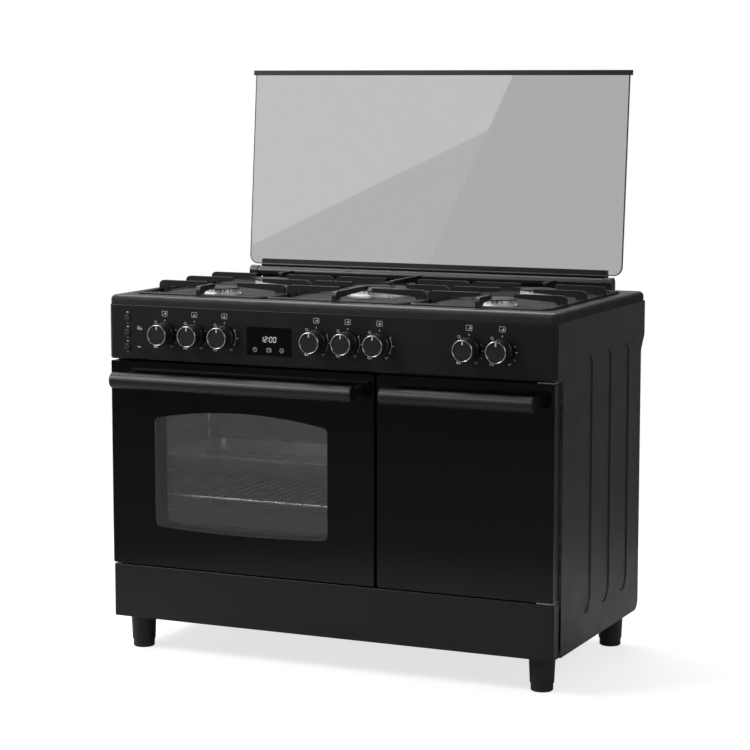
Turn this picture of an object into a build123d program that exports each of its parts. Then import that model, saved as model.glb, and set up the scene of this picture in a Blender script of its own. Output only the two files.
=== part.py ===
from build123d import *
import os

# A freestanding gas cooker: gas oven, gas cylinder compartment, five burners and a glass lid.
# Millimetres. It is drawn with x to the right, y from the door faces to the back and z up from
# the floor. Every piece is then moved along y, so that the origin is the middle of the footprint.

# Body
WIDTH = 1100.0             # across the side panels
DEPTH = 600.0              # door faces to the rear edge of the hob
HEIGHT = 836.0             # floor to the rim of the hob
LEG_HEIGHT = 80.0          # floor to the underside of the body
SHEET = 1.5                # enamelled steel sheet
FOLD_ROUND = 1.2           # outer edge of a sharp fold or a trimmed edge of the sheet
CUT = 1.0                  # cutters run on this far past what they cut
FRONT_LAYER = 40.0         # door faces to the front edges of the side panels
SEAM = 4.0                 # gap between neighbouring front pieces
SERVICE_STEP = 25.0        # the lower back stands this far in front of the rear edge of the hob
STEP_HEIGHT = 114.0        # the step ends this far under the hob
STEP_RISE = 34.0           # height of the slanted part of the step
STEP_ROUND = 26.0
SIDE_CORNER = 25.0         # rounded lower rear corner of the body
BACK_TOE = 20.0            # the back panel runs on this far under the body
LIP = 14.0                 # upturned edge of the base tray

# Pressed ribs of the side panels
RIB_COUNT = 3
RIB_WIDTH = 70.0
RIB_DEPTH = 2.2
RIB_FIRST = 198.0          # door faces to the middle of the first rib
RIB_LAST = 147.0           # rear edge of the hob to the middle of the last rib
RIB_FOOT = 67.0            # underside of the body to the lower end of the ribs
RIB_HEAD = 79.0            # underside of the hob to the upper end of the ribs
RIB_TAPER = 40.0

# Vents in the back panel
VENT_COUNT = 14
VENT_WIDTH = 10.0
VENT_LENGTH = 70.0
VENT_PITCH = 40.0
VENT_DROP = 60.0           # the vents end this far under the step

# Hob
HOB_THICKNESS = 22.0
HOB_CORNER = 14.0
HOB_EDGE = 12.0
RECESS_DEPTH = 6.0
RECESS_SIDE_RIM = 30.0     # flat rim at the two sides
RECESS_FRONT_RIM = 42.0
RECESS_REAR_RIM = 50.0
RECESS_CORNER = 24.0
RECESS_TAPER = 50.0

# Front pieces
PLINTH_HEIGHT = 124.0
PLINTH_INSET = 3.0         # set in at its two ends
PLINTH_SETBACK = 2.0       # behind the door faces
PLINTH_ROUND = 4.0
PANEL_HEIGHT = 126.0
PANEL_END_ROUND = 9.0
PANEL_EDGE_ROUND = 5.0
FRAME_OVERLAP = 14.0       # face frames reach this far behind the plinth and the control panel

# Knobs, taps and gas rail
KNOBS_LEFT = (147.0, 224.0, 301.0, 532.0, 609.0, 686.0)   # left side of the body to the knob axes
KNOBS_RIGHT = (202.0, 125.0)                              # right side of the body to the knob axes
KNOB_DROP = 63.0           # knob axis under the underside of the hob
KNOB_FACE_RADIUS = 23.75
KNOB_BASE_RADIUS = 26.0
KNOB_LENGTH = 35.0
KNOB_TRAVEL = 4.0          # pushed in before it turns
KNOB_GAP = 1.0             # left to the panel when pushed
KNOB_SKIRT = 7.0
KNOB_DISH = 1.4            # depth of the dished face
KNOB_RIM = 3.0             # width of the raised ring round the face
KNOB_EDGE = 1.0            # bevels of the skirt and the face
SPINDLE_RADIUS = 4.0
SPINDLE_FLAT = 2.5         # axis to the flat of the spindle
RUNNING_GAP = 0.05         # radial clearance of turning fits
SPINDLE_HOLE_RADIUS = 6.0
TAP_RADIUS = 13.0
TAP_LENGTH = 30.0
TAP_NOSE = 14.0            # counterbored nose that seats on the back of the panel
TAP_BORE = 22.0
RAIL_RADIUS = 9.0
RAIL_END = 30.0            # the rail runs on this far past the first tap
INLET_SIDE = 40.0          # right side of the body to the gas inlet
INLET_NECK = 3.0           # pipe between the back panel and the spigot
INLET_RADIUS = 10.5        # half-inch pipe spigot
INLET_REACH = 20.0         # length of the spigot
INLET_HOLE_GAP = 0.5

# Buttons and timer
BUTTON_SIDE = 49.0         # left side of the body to the buttons
BUTTON_TOP = 30.0          # first button under the underside of the hob
BUTTON_PITCH = 33.5
BUTTON_COUNT = 3
BUTTON_RADIUS = 8.0
BUTTON_PROUD = 4.0
BUTTON_BACK = 8.0          # stem behind the panel face
BUTTON_COLLAR = 2.0        # width of the retaining collar
BUTTON_GAP = 0.3
TIMER_SIDE = 414.0         # left side of the body to the middle of the timer
TIMER_WIDTH = 112.0
TIMER_HEIGHT = 64.0
TIMER_MIDDLE = 69.0        # under the underside of the hob
TIMER_PROUD = 0.8
TIMER_LAP = 4.0            # bezel laps the panel
TIMER_BODY = 22.0

# Doors
GLASS = 4.0
DOOR_DEPTH = 36.0
DOOR_CORNER = 4.0
FRAME_INSET = 1.0          # frame stands in from the edge of the outer glass
DOOR_CHAMFER = 8.0         # lower rear edge of the oven door, clear of the body as it drops
WINDOW_SIDE = 126.0        # door edge to the opening of the oven door frame
WINDOW_LOW = 102.0
WINDOW_TOP = 100.0
WINDOW_ROUND = 15.0
INNER_GLASS_LAP = 14.0     # inner glass past that opening
HINGE_DEPTH = 10.0         # door face to the axis of either door
OVEN_HINGE_RISE = 18.0     # door's lower edge to the oven door axis
OVEN_HINGE_INSET = 44.0    # door's side edge to the middle of a hinge
HINGE_PIN_RADIUS = 4.0
HINGE_ARM = 6.0
HINGE_ROOM = 3.0           # each side of the arm, in the door's notch
HINGE_LUG = 8.0
HINGE_NOTCH_TOP = 7.0      # notch above the axis
HINGE_NOTCH_FRONT = 5.5    # notch in front of the axis
PIVOT_INSET = 10.0         # cabinet door's side edge to its axis
PIVOT_PIN_RADIUS = 3.0
PIVOT_PIN_LENGTH = 12.0
PIVOT_PLATE = 2.4
PIVOT_PLATE_WIDTH = 40.0
PIVOT_NOSE = 9.0           # pin to the front and the outer edge of its plate
PIVOT_LUG = 18.0

# Bar handles
HANDLE_RADIUS = 18.5
HANDLE_STAND = 45.0        # door face to the middle of the bar
HANDLE_DROP = 40.0         # door's upper edge to the middle of the bar
HANDLE_INSET = 29.0        # door's side edge to the end of the bar
HANDLE_END_ROUND = 3.0
POST_WIDTH = 26.0
POST_HEIGHT = 24.0
POST_ROUND = 6.0

# Oven
OVEN_SIDE = 57.0           # door's side edges to the cavity
OVEN_WIDTH = 554.0
OVEN_DEPTH = 380.0
OVEN_RISE = 42.0           # door's lower edge to the cavity floor
OVEN_HEAD = 64.0           # cavity ceiling to the door's upper edge
OVEN_ROUND = 20.0
SEAL_WIDTH = 9.0
SEAL_LAP = 8.0             # cavity edge to the seal
SEAT_GAP = 0.3             # left between pieces that rest on each other and move apart
FLOOR_RISE = 32.0          # cavity floor to the top of the floor plate
FLOOR_MARGIN = 24.0
FLOOR_SLOTS = 6
FLOOR_SLOT_LENGTH = 120.0
FLOOR_SLOT_WIDTH = 8.0
BURNER_TUBE_RADIUS = 10.0
GRILL_TUBE_RADIUS = 8.0
GRILL_SPREAD = 90.0
TUBE_SETBACK = 60.0        # cavity mouth to the front ends of the burner tubes
LADDER_WIRE = 2.5          # radius
LADDER_POST_STAND = 4.0    # cavity wall to the middle of an upright
LADDER_FRONT = 48.0        # cavity mouth to the front upright
LADDER_REAR = 60.0         # cavity back to the rear upright
LADDER_FOOT = 44.0         # cavity floor to the lower ends
LADDER_HEAD = 40.0         # ceiling to the upper ends
RUNG_FIRST = 63.5          # cavity floor to the first rung
RUNG_LAST = 74.0           # last rung to the ceiling
RUNG_COUNT = 6
RUNG_OVERHANG = 24.0
SHELF_LEVEL = 2
TRAY_LEVEL = 4
SHELF_FRAME = 3.0          # radius
SHELF_WIRE = 1.8           # radius
SHELF_WIRE_COUNT = 21
SHELF_SETBACK = 24.0       # cavity mouth to the front bar
SHELF_DEPTH = 330.0
TRAY_DEPTH = 30.0
TRAY_TAPER = 12.5
TRAY_RIM = 22.0
TRAY_CORNER = 30.0
TRAY_LENGTH = 300.0

# Cabinet
CABINET_FRAME = 14.0       # width of the face frame round the compartment's mouth

# Feet
FOOT_SIDE = 49.0           # side of the body to a foot's middle
FOOT_FRONT_Y = 58.0
FOOT_REAR = 80.0           # rear edge of the hob to the rear feet
SLEEVE_RADIUS = 29.5
SLEEVE_TIP_RADIUS = 27.0
SLEEVE_FLANGE = 4.0
PAD_RADIUS = 25.0
PAD_HEIGHT = 18.0
PAD_CHAMFER = 2.5
STEM_RADIUS = 10.0
STEM_GAP = 0.3
STEM_LENGTH = 44.0

# Burners: places from the middle of the body and from the door faces
BURNER_SIDE = 205.0        # side of the body to the single burners
FRONT_BURNER_Y = 170.0     # door faces to the front burners
REAR_BURNER = 170.0        # rear edge of the hob to the rear burners
HEAD_RADIUS = 45.0         # foot of a single burner's head
CROWN_RADIUS = 41.0
CROWN_WALL = 6.0
CAP_RADIUS = 43.0
PORT_COUNT = 24
WOK_RADIUS = 76.0
WOK_CROWN_RADIUS = 72.0
WOK_CAP_RADIUS = 73.0
WOK_PORT_COUNT = 40
WOK_INNER_RADIUS = 27.0
HEAD_FOOT = 4.0            # height of the head's foot
CROWN_HEIGHT = 11.0
CAP_HEIGHT = 4.0
CAP_BEVEL = 6.0            # width of the bevelled edge
CAP_DOME = 1.0             # rise of the slightly domed top
PORT_WIDTH = 3.0
PORT_HEIGHT = 6.0
NECK_RADIUS = 22.0         # cup's neck through the hob
CUP_RADIUS = 30.0
CUP_DEPTH = 34.0
SPARK_RADIUS = 3.0
SPARK_REACH = 8.0          # past the head's foot
SPARK_HEIGHT = 11.0
SPARK_TIP = 1.0            # radius
SPARK_TIP_HEIGHT = 4.0
HOLE_GAP = 0.4

# Pan supports
SUPPORT_FRONT = 52.0       # door faces to the front rail
SUPPORT_BACK = 57.0        # rear edge of the hob to the rear rail
SUPPORT_EDGE = 40.0        # sides of the body to the outer rails
SUPPORT_GAP = 6.0
RAIL_WIDTH = 9.0
RAIL_HEIGHT = 7.0
RAIL_CORNER = 18.0
RAIL_CHAMFER = 2.5
STUD_RADIUS = 5.0
STUD_HEIGHT = 3.0
FINGER_TOP = 22.5          # hob rim to the tops of the fingers
FINGER_THICK = 10.0
FINGER_TIP = 9.0           # height of the blade at its tip
FINGER_DEPTH = 15.0        # height of the blade at its leg
FINGER_LEG = 22.0
FINGER_SHOULDER = 11.0
FINGER_ARCH = 8.0
FINGER_NOSE = 2.5
TIP_RADIUS = 42.0          # burner middle to the tips of the fingers
WOK_TIP_RADIUS = 70.0

# Lid
LID_SIDE = 57.0            # sides of the body to the lid glass
LID_REACH = 118.0          # the glass is this much shorter than the body is deep
LID_CORNER = 22.0
LID_LEAN = 5.0             # degrees past upright when open
LID_AXIS_FORWARD = 20.0    # rear edge of the hob to the axis
LID_AXIS_RISE = 15.5       # hob rim to the axis
LID_GLASS_STAND = 16.0     # axis to the front face of the glass
LID_GLASS_START = 18.0     # axis to the lower edge of the glass
LID_TUBE_RADIUS = 12.5
LID_PIN_RADIUS = 5.0
LID_PIN_LENGTH = 20.0
LID_BRACKET_SIDE = 92.0    # sides of the body to the inner face of a bracket
LID_BRACKET_WIDTH = 20.0
LID_EAR_RADIUS = 14.0
LID_EAR_ROUND = 13.0
LID_END_GAP = 1.0
CLAMP_HEIGHT = 17.5
CLAMP_WALL = 4.0
CLAMP_ROUND = 1.0
CLAMP_BEAD = 3.0           # radius of the bead along the foot of the clamp
TRIM_HEIGHT = 12.0
TRIM_WALL = 3.0
TRIM_OVERHANG = 5.0

# Heights and places that follow
HALF = WIDTH / 2
Z_BASE = LEG_HEIGHT
Z_PLINTH_TOP = Z_BASE + PLINTH_HEIGHT
Z_HOB = HEIGHT - HOB_THICKNESS
Z_PANEL = Z_HOB - PANEL_HEIGHT
Z_DOOR_LOW = Z_PLINTH_TOP + SEAM
Z_DOOR_TOP = Z_PANEL - SEAM
Z_FLOOR = HEIGHT - RECESS_DEPTH
Z_KNOB = Z_HOB - KNOB_DROP
X_DOOR = HALF - SEAM
DOOR_DIVIDE = 2 * OVEN_SIDE + OVEN_WIDTH + SEAM - X_DOOR
OVEN_DOOR = (-X_DOOR, DOOR_DIVIDE - SEAM)
CABINET_DOOR = (DOOR_DIVIDE + SEAM, X_DOOR)
Y_BACK = DEPTH - SERVICE_STEP
Y_TOE = Y_BACK - SIDE_CORNER - BACK_TOE
Z_STEP = Z_HOB - STEP_HEIGHT
X_INNER = HALF - SHEET
FRAME_LOW = Z_PLINTH_TOP - FRAME_OVERLAP
FRAME_TOP = Z_PANEL + FRAME_OVERLAP
OVEN_X0 = OVEN_DOOR[0] + OVEN_SIDE
OVEN_X1 = OVEN_X0 + OVEN_WIDTH
OVEN_X = (OVEN_X0 + OVEN_X1) / 2
OVEN_Z0 = Z_DOOR_LOW + OVEN_RISE
OVEN_Z1 = Z_DOOR_TOP - OVEN_HEAD
OVEN_HEIGHT = OVEN_Z1 - OVEN_Z0
OVEN_Y0 = FRONT_LAYER + SHEET
OVEN_Y1 = OVEN_Y0 + OVEN_DEPTH
OVEN_AXIS_Z = Z_DOOR_LOW + OVEN_HINGE_RISE
CABINET_AXIS_X = CABINET_DOOR[1] - PIVOT_INSET
SIDE_BURNER_X = HALF - BURNER_SIDE
REAR_BURNER_Y = DEPTH - REAR_BURNER
WOK_Y = (FRONT_BURNER_Y + REAR_BURNER_Y) / 2
SIDE_BURNERS = [(side * SIDE_BURNER_X, y) for side in (-1, 1) for y in (FRONT_BURNER_Y, REAR_BURNER_Y)]
SUPPORT_SIDE = HALF - SUPPORT_EDGE
SUPPORT_REAR = DEPTH - SUPPORT_BACK
Z_RAIL = Z_FLOOR + SEAT_GAP + STUD_HEIGHT
Z_FINGER = HEIGHT + FINGER_TOP
Z_CROWN = Z_FLOOR + HEAD_FOOT + CROWN_HEIGHT
LID_WIDTH = WIDTH - 2 * LID_SIDE
LID_LENGTH = DEPTH - LID_REACH
LID_BRACKET_X = HALF - LID_BRACKET_SIDE
LID_AXIS_Y = DEPTH - LID_AXIS_FORWARD
LID_AXIS_Z = HEIGHT + LID_AXIS_RISE
KNOB_X = [side - HALF for side in KNOBS_LEFT] + [HALF - side for side in KNOBS_RIGHT]
BUTTON_X = BUTTON_SIDE - HALF
TIMER_X = TIMER_SIDE - HALF
INLET_X = HALF - INLET_SIDE
KNOB_FOOT = -(KNOB_TRAVEL + KNOB_GAP)
KNOB_FACE = KNOB_FOOT - KNOB_LENGTH
RAIL_Y = SHEET + TAP_NOSE + TAP_LENGTH + RAIL_RADIUS / 2
BUTTON_Z = [Z_HOB - BUTTON_TOP - i * BUTTON_PITCH for i in range(BUTTON_COUNT)]
TIMER_Z = Z_HOB - TIMER_MIDDLE
RUNG_STAND = LADDER_POST_STAND + 2 * LADDER_WIRE - SEAT_GAP
LADDER_REACH = LADDER_POST_STAND + LADDER_WIRE + SEAT_GAP
RUNG_PITCH = (OVEN_HEIGHT - RUNG_FIRST - RUNG_LAST) / (RUNG_COUNT - 1)
RUNG_Z = [OVEN_Z0 + RUNG_FIRST + i * RUNG_PITCH for i in range(RUNG_COUNT)]
FOOT_REAR_Y = DEPTH - FOOT_REAR
FEET = [(side * (HALF - FOOT_SIDE), y) for y in (FOOT_FRONT_Y, FOOT_REAR_Y) for side in (-1, 1)]
RIB_LENGTH = Z_HOB - RIB_HEAD - Z_BASE - RIB_FOOT
RIB_PITCH = (DEPTH - RIB_FIRST - RIB_LAST) / (RIB_COUNT - 1)
DIAGONAL = 2 ** -0.5       # side of a square over its diagonal

SIDE_PLANE = Plane(origin=(0, 0, 0), x_dir=(0, 1, 0), z_dir=(1, 0, 0))


def span(x0, x1, y0, y1, z0, z1):
    """Block between two limits along each axis."""
    return Pos((x0 + x1) / 2, (y0 + y1) / 2, (z0 + z1) / 2) * Box(x1 - x0, y1 - y0, z1 - z0)


def rod(start, end, radius):
    """Round bar between two points."""
    way = Vector(*end) - Vector(*start)
    return Part() + Solid.make_cylinder(radius, way.length, Plane(origin=start, z_dir=way))


def outline(*corners):
    """Flat face through corners (u, v, radius), rounded where the radius is above zero."""
    face = make_face(Polyline(*[(u, v) for u, v, r in corners], close=True))
    for u, v, r in corners:
        if r > 0:
            face = fillet(face.vertices().sort_by_distance((u, v, 0))[0], r)
    return face


def across(face, x0, x1):
    """Face drawn in depth and height, extruded from x0 to x1."""
    return Pos(x0, 0, 0) * extrude(SIDE_PLANE * face, amount=x1 - x0)


def turned(points, x, y):
    """Ring or disc turned about the upright axis through x, y from points (radius, z)."""
    face = Plane.XZ * make_face(Polyline(*points, close=True))
    return Pos(x, y, 0) * revolve(face, axis=Axis.Z)


def rounded_plan(x0, x1, y0, y1, z0, z1, radius):
    """Block with its two front upright edges rounded."""
    plan = outline((x0, y0, radius), (x1, y0, radius), (x1, y1, 0), (x0, y1, 0))
    return Pos(0, 0, z0) * extrude(plan, amount=z1 - z0)


def folded_front(x0, x1, y0, z0, z1, end_round, edge_round):
    """Front piece folded from sheet: flat face, rounded ends, rolled lower edge, open at the back."""
    skin = rounded_plan(x0, x1, y0, FRONT_LAYER, z0, z1, end_round)
    lower = skin.faces().sort_by(Axis.Z)[0].edges().sort_by(Axis.Y)[:-1]
    skin = fillet(lower, edge_round)
    upper = skin.faces().sort_by(Axis.Z)[-1].edges().sort_by(Axis.Y)[:-1]
    skin = fillet(upper, FOLD_ROUND)
    core = rounded_plan(x0 + SHEET, x1 - SHEET, y0 + SHEET, FRONT_LAYER + SHEET, z0 + SHEET, z1 - SHEET,
                        end_round - SHEET)
    return skin - core


def side_panel():
    """Right side: one sheet with pressed-in ribs and a bulge over the service step at the back."""
    face = outline((FRONT_LAYER, Z_BASE, 0), (Y_BACK, Z_BASE, SIDE_CORNER), (Y_BACK, Z_STEP, STEP_ROUND),
                   (DEPTH, Z_STEP + STEP_RISE, STEP_ROUND), (DEPTH, Z_HOB, 0), (FRONT_LAYER, Z_HOB, 0))
    panel = across(face, X_INNER, HALF)
    panel = fillet(panel.faces().sort_by(Axis.Z)[-1].edges().sort_by(Axis.X)[-1], FOLD_ROUND)
    outer = Plane(origin=(HALF, 0, 0), x_dir=(0, 1, 0), z_dir=(1, 0, 0))
    middle = Z_BASE + RIB_FOOT + RIB_LENGTH / 2
    for i in range(RIB_COUNT):
        place = outer * Pos(RIB_FIRST + i * RIB_PITCH, middle)
        bulge = SlotOverall(RIB_LENGTH + 2 * SHEET, RIB_WIDTH + 2 * SHEET, rotation=90)
        press = SlotOverall(RIB_LENGTH, RIB_WIDTH, rotation=90)
        panel += extrude(place * bulge, amount=-(RIB_DEPTH + SHEET), taper=RIB_TAPER)
        panel -= extrude(place * press, amount=-RIB_DEPTH, taper=RIB_TAPER)
    return panel


def back_panel():
    """Rear sheet bent along the service step and under the body, with vents and the inlet hole."""
    inner = Y_BACK - SHEET
    face = outline((Y_TOE, Z_BASE, 0), (Y_BACK, Z_BASE, SIDE_CORNER), (Y_BACK, Z_STEP, 0),
                   (DEPTH, Z_STEP + STEP_RISE, 0), (DEPTH, Z_HOB, 0), (DEPTH - SHEET, Z_HOB, 0),
                   (DEPTH - SHEET, Z_STEP + STEP_RISE + SHEET / 2, 0), (inner, Z_STEP + SHEET / 2, 0),
                   (inner, Z_BASE + SHEET, SIDE_CORNER - SHEET), (Y_TOE, Z_BASE + SHEET, 0))
    panel = across(face, -X_INNER, X_INNER)
    top = Z_STEP - VENT_DROP
    for i in range(VENT_COUNT):
        x = OVEN_X + (i - (VENT_COUNT - 1) / 2) * VENT_PITCH
        panel -= span(x - VENT_WIDTH / 2, x + VENT_WIDTH / 2, Y_BACK - 2 * SHEET, Y_BACK + SHEET,
                      top - VENT_LENGTH, top)
    hole = RAIL_RADIUS + INLET_HOLE_GAP
    panel -= rod((INLET_X, DEPTH - SERVICE_STEP, Z_KNOB), (INLET_X, DEPTH + SHEET, Z_KNOB), hole)
    return panel


def base_tray():
    """Floor pan of the body with upturned edges."""
    tray = span(-X_INNER, X_INNER, FRONT_LAYER, Y_TOE, Z_BASE, Z_BASE + LIP)
    tray -= span(-X_INNER + SHEET, X_INNER - SHEET, FRONT_LAYER + SHEET, Y_TOE - SHEET, Z_BASE + SHEET,
                 Z_BASE + 2 * LIP)
    return tray


def hob_skin(inset, top):
    """Rounded body of the hob, drawn in by an inset."""
    body = span(-HALF + inset, HALF - inset, inset, DEPTH - inset, Z_HOB - inset, top)
    body = fillet(body.edges().filter_by(Axis.Z), HOB_CORNER - inset)
    return fillet(body.faces().sort_by(Axis.Z)[-1].edges(), HOB_EDGE - inset)


def hob_recess(wall):
    """Shallow tapered well of the hob; the wall widens and deepens it for the underside."""
    width = WIDTH - 2 * RECESS_SIDE_RIM + 2 * wall
    depth = DEPTH - RECESS_FRONT_RIM - RECESS_REAR_RIM + 2 * wall
    middle = (RECESS_FRONT_RIM + DEPTH - RECESS_REAR_RIM) / 2
    mouth = Pos(0, middle, HEIGHT) * RectangleRounded(width, depth, RECESS_CORNER + wall)
    return extrude(mouth, amount=-(RECESS_DEPTH + wall), taper=RECESS_TAPER)


def spark_places():
    """Electrode beside each burner, between two fingers of the pan support."""
    reach = DIAGONAL * (HEAD_RADIUS + SPARK_REACH)
    wok_reach = DIAGONAL * (WOK_RADIUS + SPARK_REACH)
    return [(x + reach, y - reach) for x, y in SIDE_BURNERS] + [(wok_reach, WOK_Y - wok_reach)]


def hob_top():
    """Pressed hob with rolled edges, a shallow well and holes for the burners."""
    skin = hob_skin(0, HEIGHT)
    skin = fillet(skin.faces().sort_by(Axis.Z)[0].edges(), FOLD_ROUND)
    hob = skin - hob_recess(0) - (hob_skin(SHEET, HEIGHT - SHEET) - hob_recess(SHEET))
    for x, y in SIDE_BURNERS + [(0, WOK_Y)]:
        hob -= rod((x, y, Z_HOB), (x, y, HEIGHT), NECK_RADIUS + HOLE_GAP)
    for x, y in spark_places():
        hob -= rod((x, y, Z_HOB), (x, y, HEIGHT), SPARK_RADIUS + HOLE_GAP)
    return hob


def control_panel():
    """Front panel with holes for spindles, buttons and timer."""
    panel = folded_front(-HALF, HALF, 0, Z_PANEL, Z_HOB, PANEL_END_ROUND, PANEL_EDGE_ROUND)
    for x in KNOB_X:
        panel -= rod((x, -SHEET, Z_KNOB), (x, 2 * SHEET, Z_KNOB), SPINDLE_HOLE_RADIUS)
    for z in BUTTON_Z:
        panel -= rod((BUTTON_X, -SHEET, z), (BUTTON_X, 2 * SHEET, z), BUTTON_RADIUS + BUTTON_GAP)
    half_w = TIMER_WIDTH / 2 - TIMER_LAP
    half_h = TIMER_HEIGHT / 2 - TIMER_LAP
    panel -= span(TIMER_X - half_w, TIMER_X + half_w, -SHEET, 2 * SHEET, TIMER_Z - half_h, TIMER_Z + half_h)
    return panel


def plinth():
    """Kick panel under the doors."""
    end = HALF - PLINTH_INSET
    return folded_front(-end, end, PLINTH_SETBACK, Z_BASE, Z_PLINTH_TOP, PLINTH_ROUND, PLINTH_ROUND / 2)


def oven_box(grow, y0, y1):
    """Rounded tunnel of the oven, grown outwards."""
    mouth = RectangleRounded(OVEN_WIDTH + 2 * grow, OVEN_HEIGHT + 2 * grow, OVEN_ROUND + grow)
    plane = Plane(origin=(OVEN_X, y0, (OVEN_Z0 + OVEN_Z1) / 2), x_dir=(1, 0, 0), z_dir=(0, 1, 0))
    return extrude(plane * mouth, amount=y1 - y0)


def oven_cavity():
    """Enamelled oven with the flange that closes the body round its mouth."""
    flange = span(-X_INNER, DOOR_DIVIDE, FRONT_LAYER, OVEN_Y0, FRAME_LOW, FRAME_TOP)
    shell = flange + oven_box(SHEET, OVEN_Y0, OVEN_Y1 + SHEET)
    return shell - oven_box(0, FRONT_LAYER - SHEET, OVEN_Y1)


def door_seal():
    """Gasket round the oven mouth, pressed by the closed door."""
    y0 = DOOR_DEPTH + SEAT_GAP
    return oven_box(SEAL_LAP + SEAL_WIDTH, y0, FRONT_LAYER) - oven_box(SEAL_LAP, y0 - CUT, FRONT_LAYER + CUT)


def oven_floor_plate():
    """Loose floor of the oven, folded down at its sides, with flame slots."""
    x0 = OVEN_X0 + FLOOR_MARGIN
    x1 = OVEN_X1 - FLOOR_MARGIN
    y0 = OVEN_Y0 + FLOOR_MARGIN
    y1 = OVEN_Y1 - FLOOR_MARGIN
    top = OVEN_Z0 + FLOOR_RISE
    plate = span(x0, x1, y0, y1, OVEN_Z0, top)
    plate -= span(x0 + SHEET, x1 - SHEET, y0 - CUT, y1 + CUT, OVEN_Z0 - CUT, top - SHEET)
    slot_pitch = (y1 - y0) / FLOOR_SLOTS
    for side in (-1, 1):
        x = OVEN_X + side * OVEN_WIDTH / 4
        for i in range(FLOOR_SLOTS):
            y = y0 + (i + 0.5) * slot_pitch
            plate -= span(x - FLOOR_SLOT_LENGTH / 2, x + FLOOR_SLOT_LENGTH / 2, y - FLOOR_SLOT_WIDTH / 2,
                          y + FLOOR_SLOT_WIDTH / 2, top - 2 * SHEET, top + CUT)
    return plate


def oven_burners():
    """Oven burner tube under the floor plate and two grill tubes under the ceiling."""
    y0 = OVEN_Y0 + TUBE_SETBACK
    low = OVEN_Z0 + FLOOR_RISE / 2
    high = OVEN_Z1 - 3 * GRILL_TUBE_RADIUS
    tubes = [rod((OVEN_X, y0, low), (OVEN_X, OVEN_Y1, low), BURNER_TUBE_RADIUS)]
    for side in (-1, 1):
        x = OVEN_X + side * GRILL_SPREAD
        tubes.append(rod((x, y0, high), (x, OVEN_Y1, high), GRILL_TUBE_RADIUS))
    return Compound([tube.solid() for tube in tubes])


def shelf_ladder():
    """Wire ladder on the left wall of the oven: two uprights on pegs, and the rungs."""
    y_front = OVEN_Y0 + LADDER_FRONT
    y_rear = OVEN_Y1 - LADDER_REAR
    z0 = OVEN_Z0 + LADDER_FOOT
    z1 = OVEN_Z1 - LADDER_HEAD
    post_x = OVEN_X0 + LADDER_POST_STAND
    ladder = Part()
    for y in (y_front, y_rear):
        ladder += rod((post_x, y, z0), (post_x, y, z1), LADDER_WIRE)
        for z in (z0 + 2 * LADDER_WIRE, z1 - 2 * LADDER_WIRE):
            ladder += rod((OVEN_X0, y, z), (post_x, y, z), LADDER_WIRE)
    for z in RUNG_Z:
        x = OVEN_X0 + RUNG_STAND
        ladder += rod((x, y_front - RUNG_OVERHANG, z), (x, y_rear + RUNG_OVERHANG, z), LADDER_WIRE)
    return ladder


def shelf_ladders():
    """Left and right ladder."""
    left = shelf_ladder()
    right = mirror(left, about=Plane(origin=(OVEN_X, 0, 0), z_dir=(1, 0, 0)))
    return Compound([left.solid(), right.solid()])


def wire_shelf():
    """Oven shelf: a frame of four bars with wires running front to back."""
    half = OVEN_WIDTH / 2 - LADDER_REACH - SHELF_FRAME
    z = RUNG_Z[SHELF_LEVEL - 1] + LADDER_WIRE + SHELF_FRAME + SEAT_GAP
    y0 = OVEN_Y0 + SHELF_SETBACK
    y1 = y0 + SHELF_DEPTH
    shelf = Part()
    for x in (OVEN_X - half, OVEN_X + half):
        shelf += rod((x, y0, z), (x, y1, z), SHELF_FRAME)
    for y in (y0 + SHELF_FRAME, y1 - SHELF_FRAME):
        shelf += rod((OVEN_X - half, y, z), (OVEN_X + half, y, z), SHELF_FRAME)
    pitch = 2 * half / (SHELF_WIRE_COUNT + 1)
    wire_z = z + SHELF_FRAME - SHELF_WIRE
    for i in range(SHELF_WIRE_COUNT):
        x = OVEN_X - half + (i + 1) * pitch
        shelf += rod((x, y0 + SHELF_FRAME, wire_z), (x, y1 - SHELF_FRAME, wire_z), SHELF_WIRE)
    return shelf


def baking_tray():
    """Enamelled tray hung by its rim on an upper rung."""
    half = OVEN_WIDTH / 2 - LADDER_REACH
    rim_z = RUNG_Z[TRAY_LEVEL - 1] + LADDER_WIRE + SEAT_GAP
    middle_y = OVEN_Y0 + LADDER_FRONT + TRAY_LENGTH / 2
    mouth = (2 * (half - TRAY_RIM), TRAY_LENGTH - 2 * TRAY_RIM)
    place = Pos(OVEN_X, middle_y, rim_z + SHEET)
    rim = place * RectangleRounded(2 * half, TRAY_LENGTH, TRAY_CORNER)
    tray = extrude(rim, amount=-SHEET)
    outer = RectangleRounded(mouth[0] + 2 * SHEET, mouth[1] + 2 * SHEET, TRAY_CORNER)
    tray += extrude(place * outer, amount=-TRAY_DEPTH, taper=TRAY_TAPER)
    inner = RectangleRounded(mouth[0], mouth[1], TRAY_CORNER - SHEET)
    return tray - extrude(place * inner, amount=-(TRAY_DEPTH - SHEET), taper=TRAY_TAPER)


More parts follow.
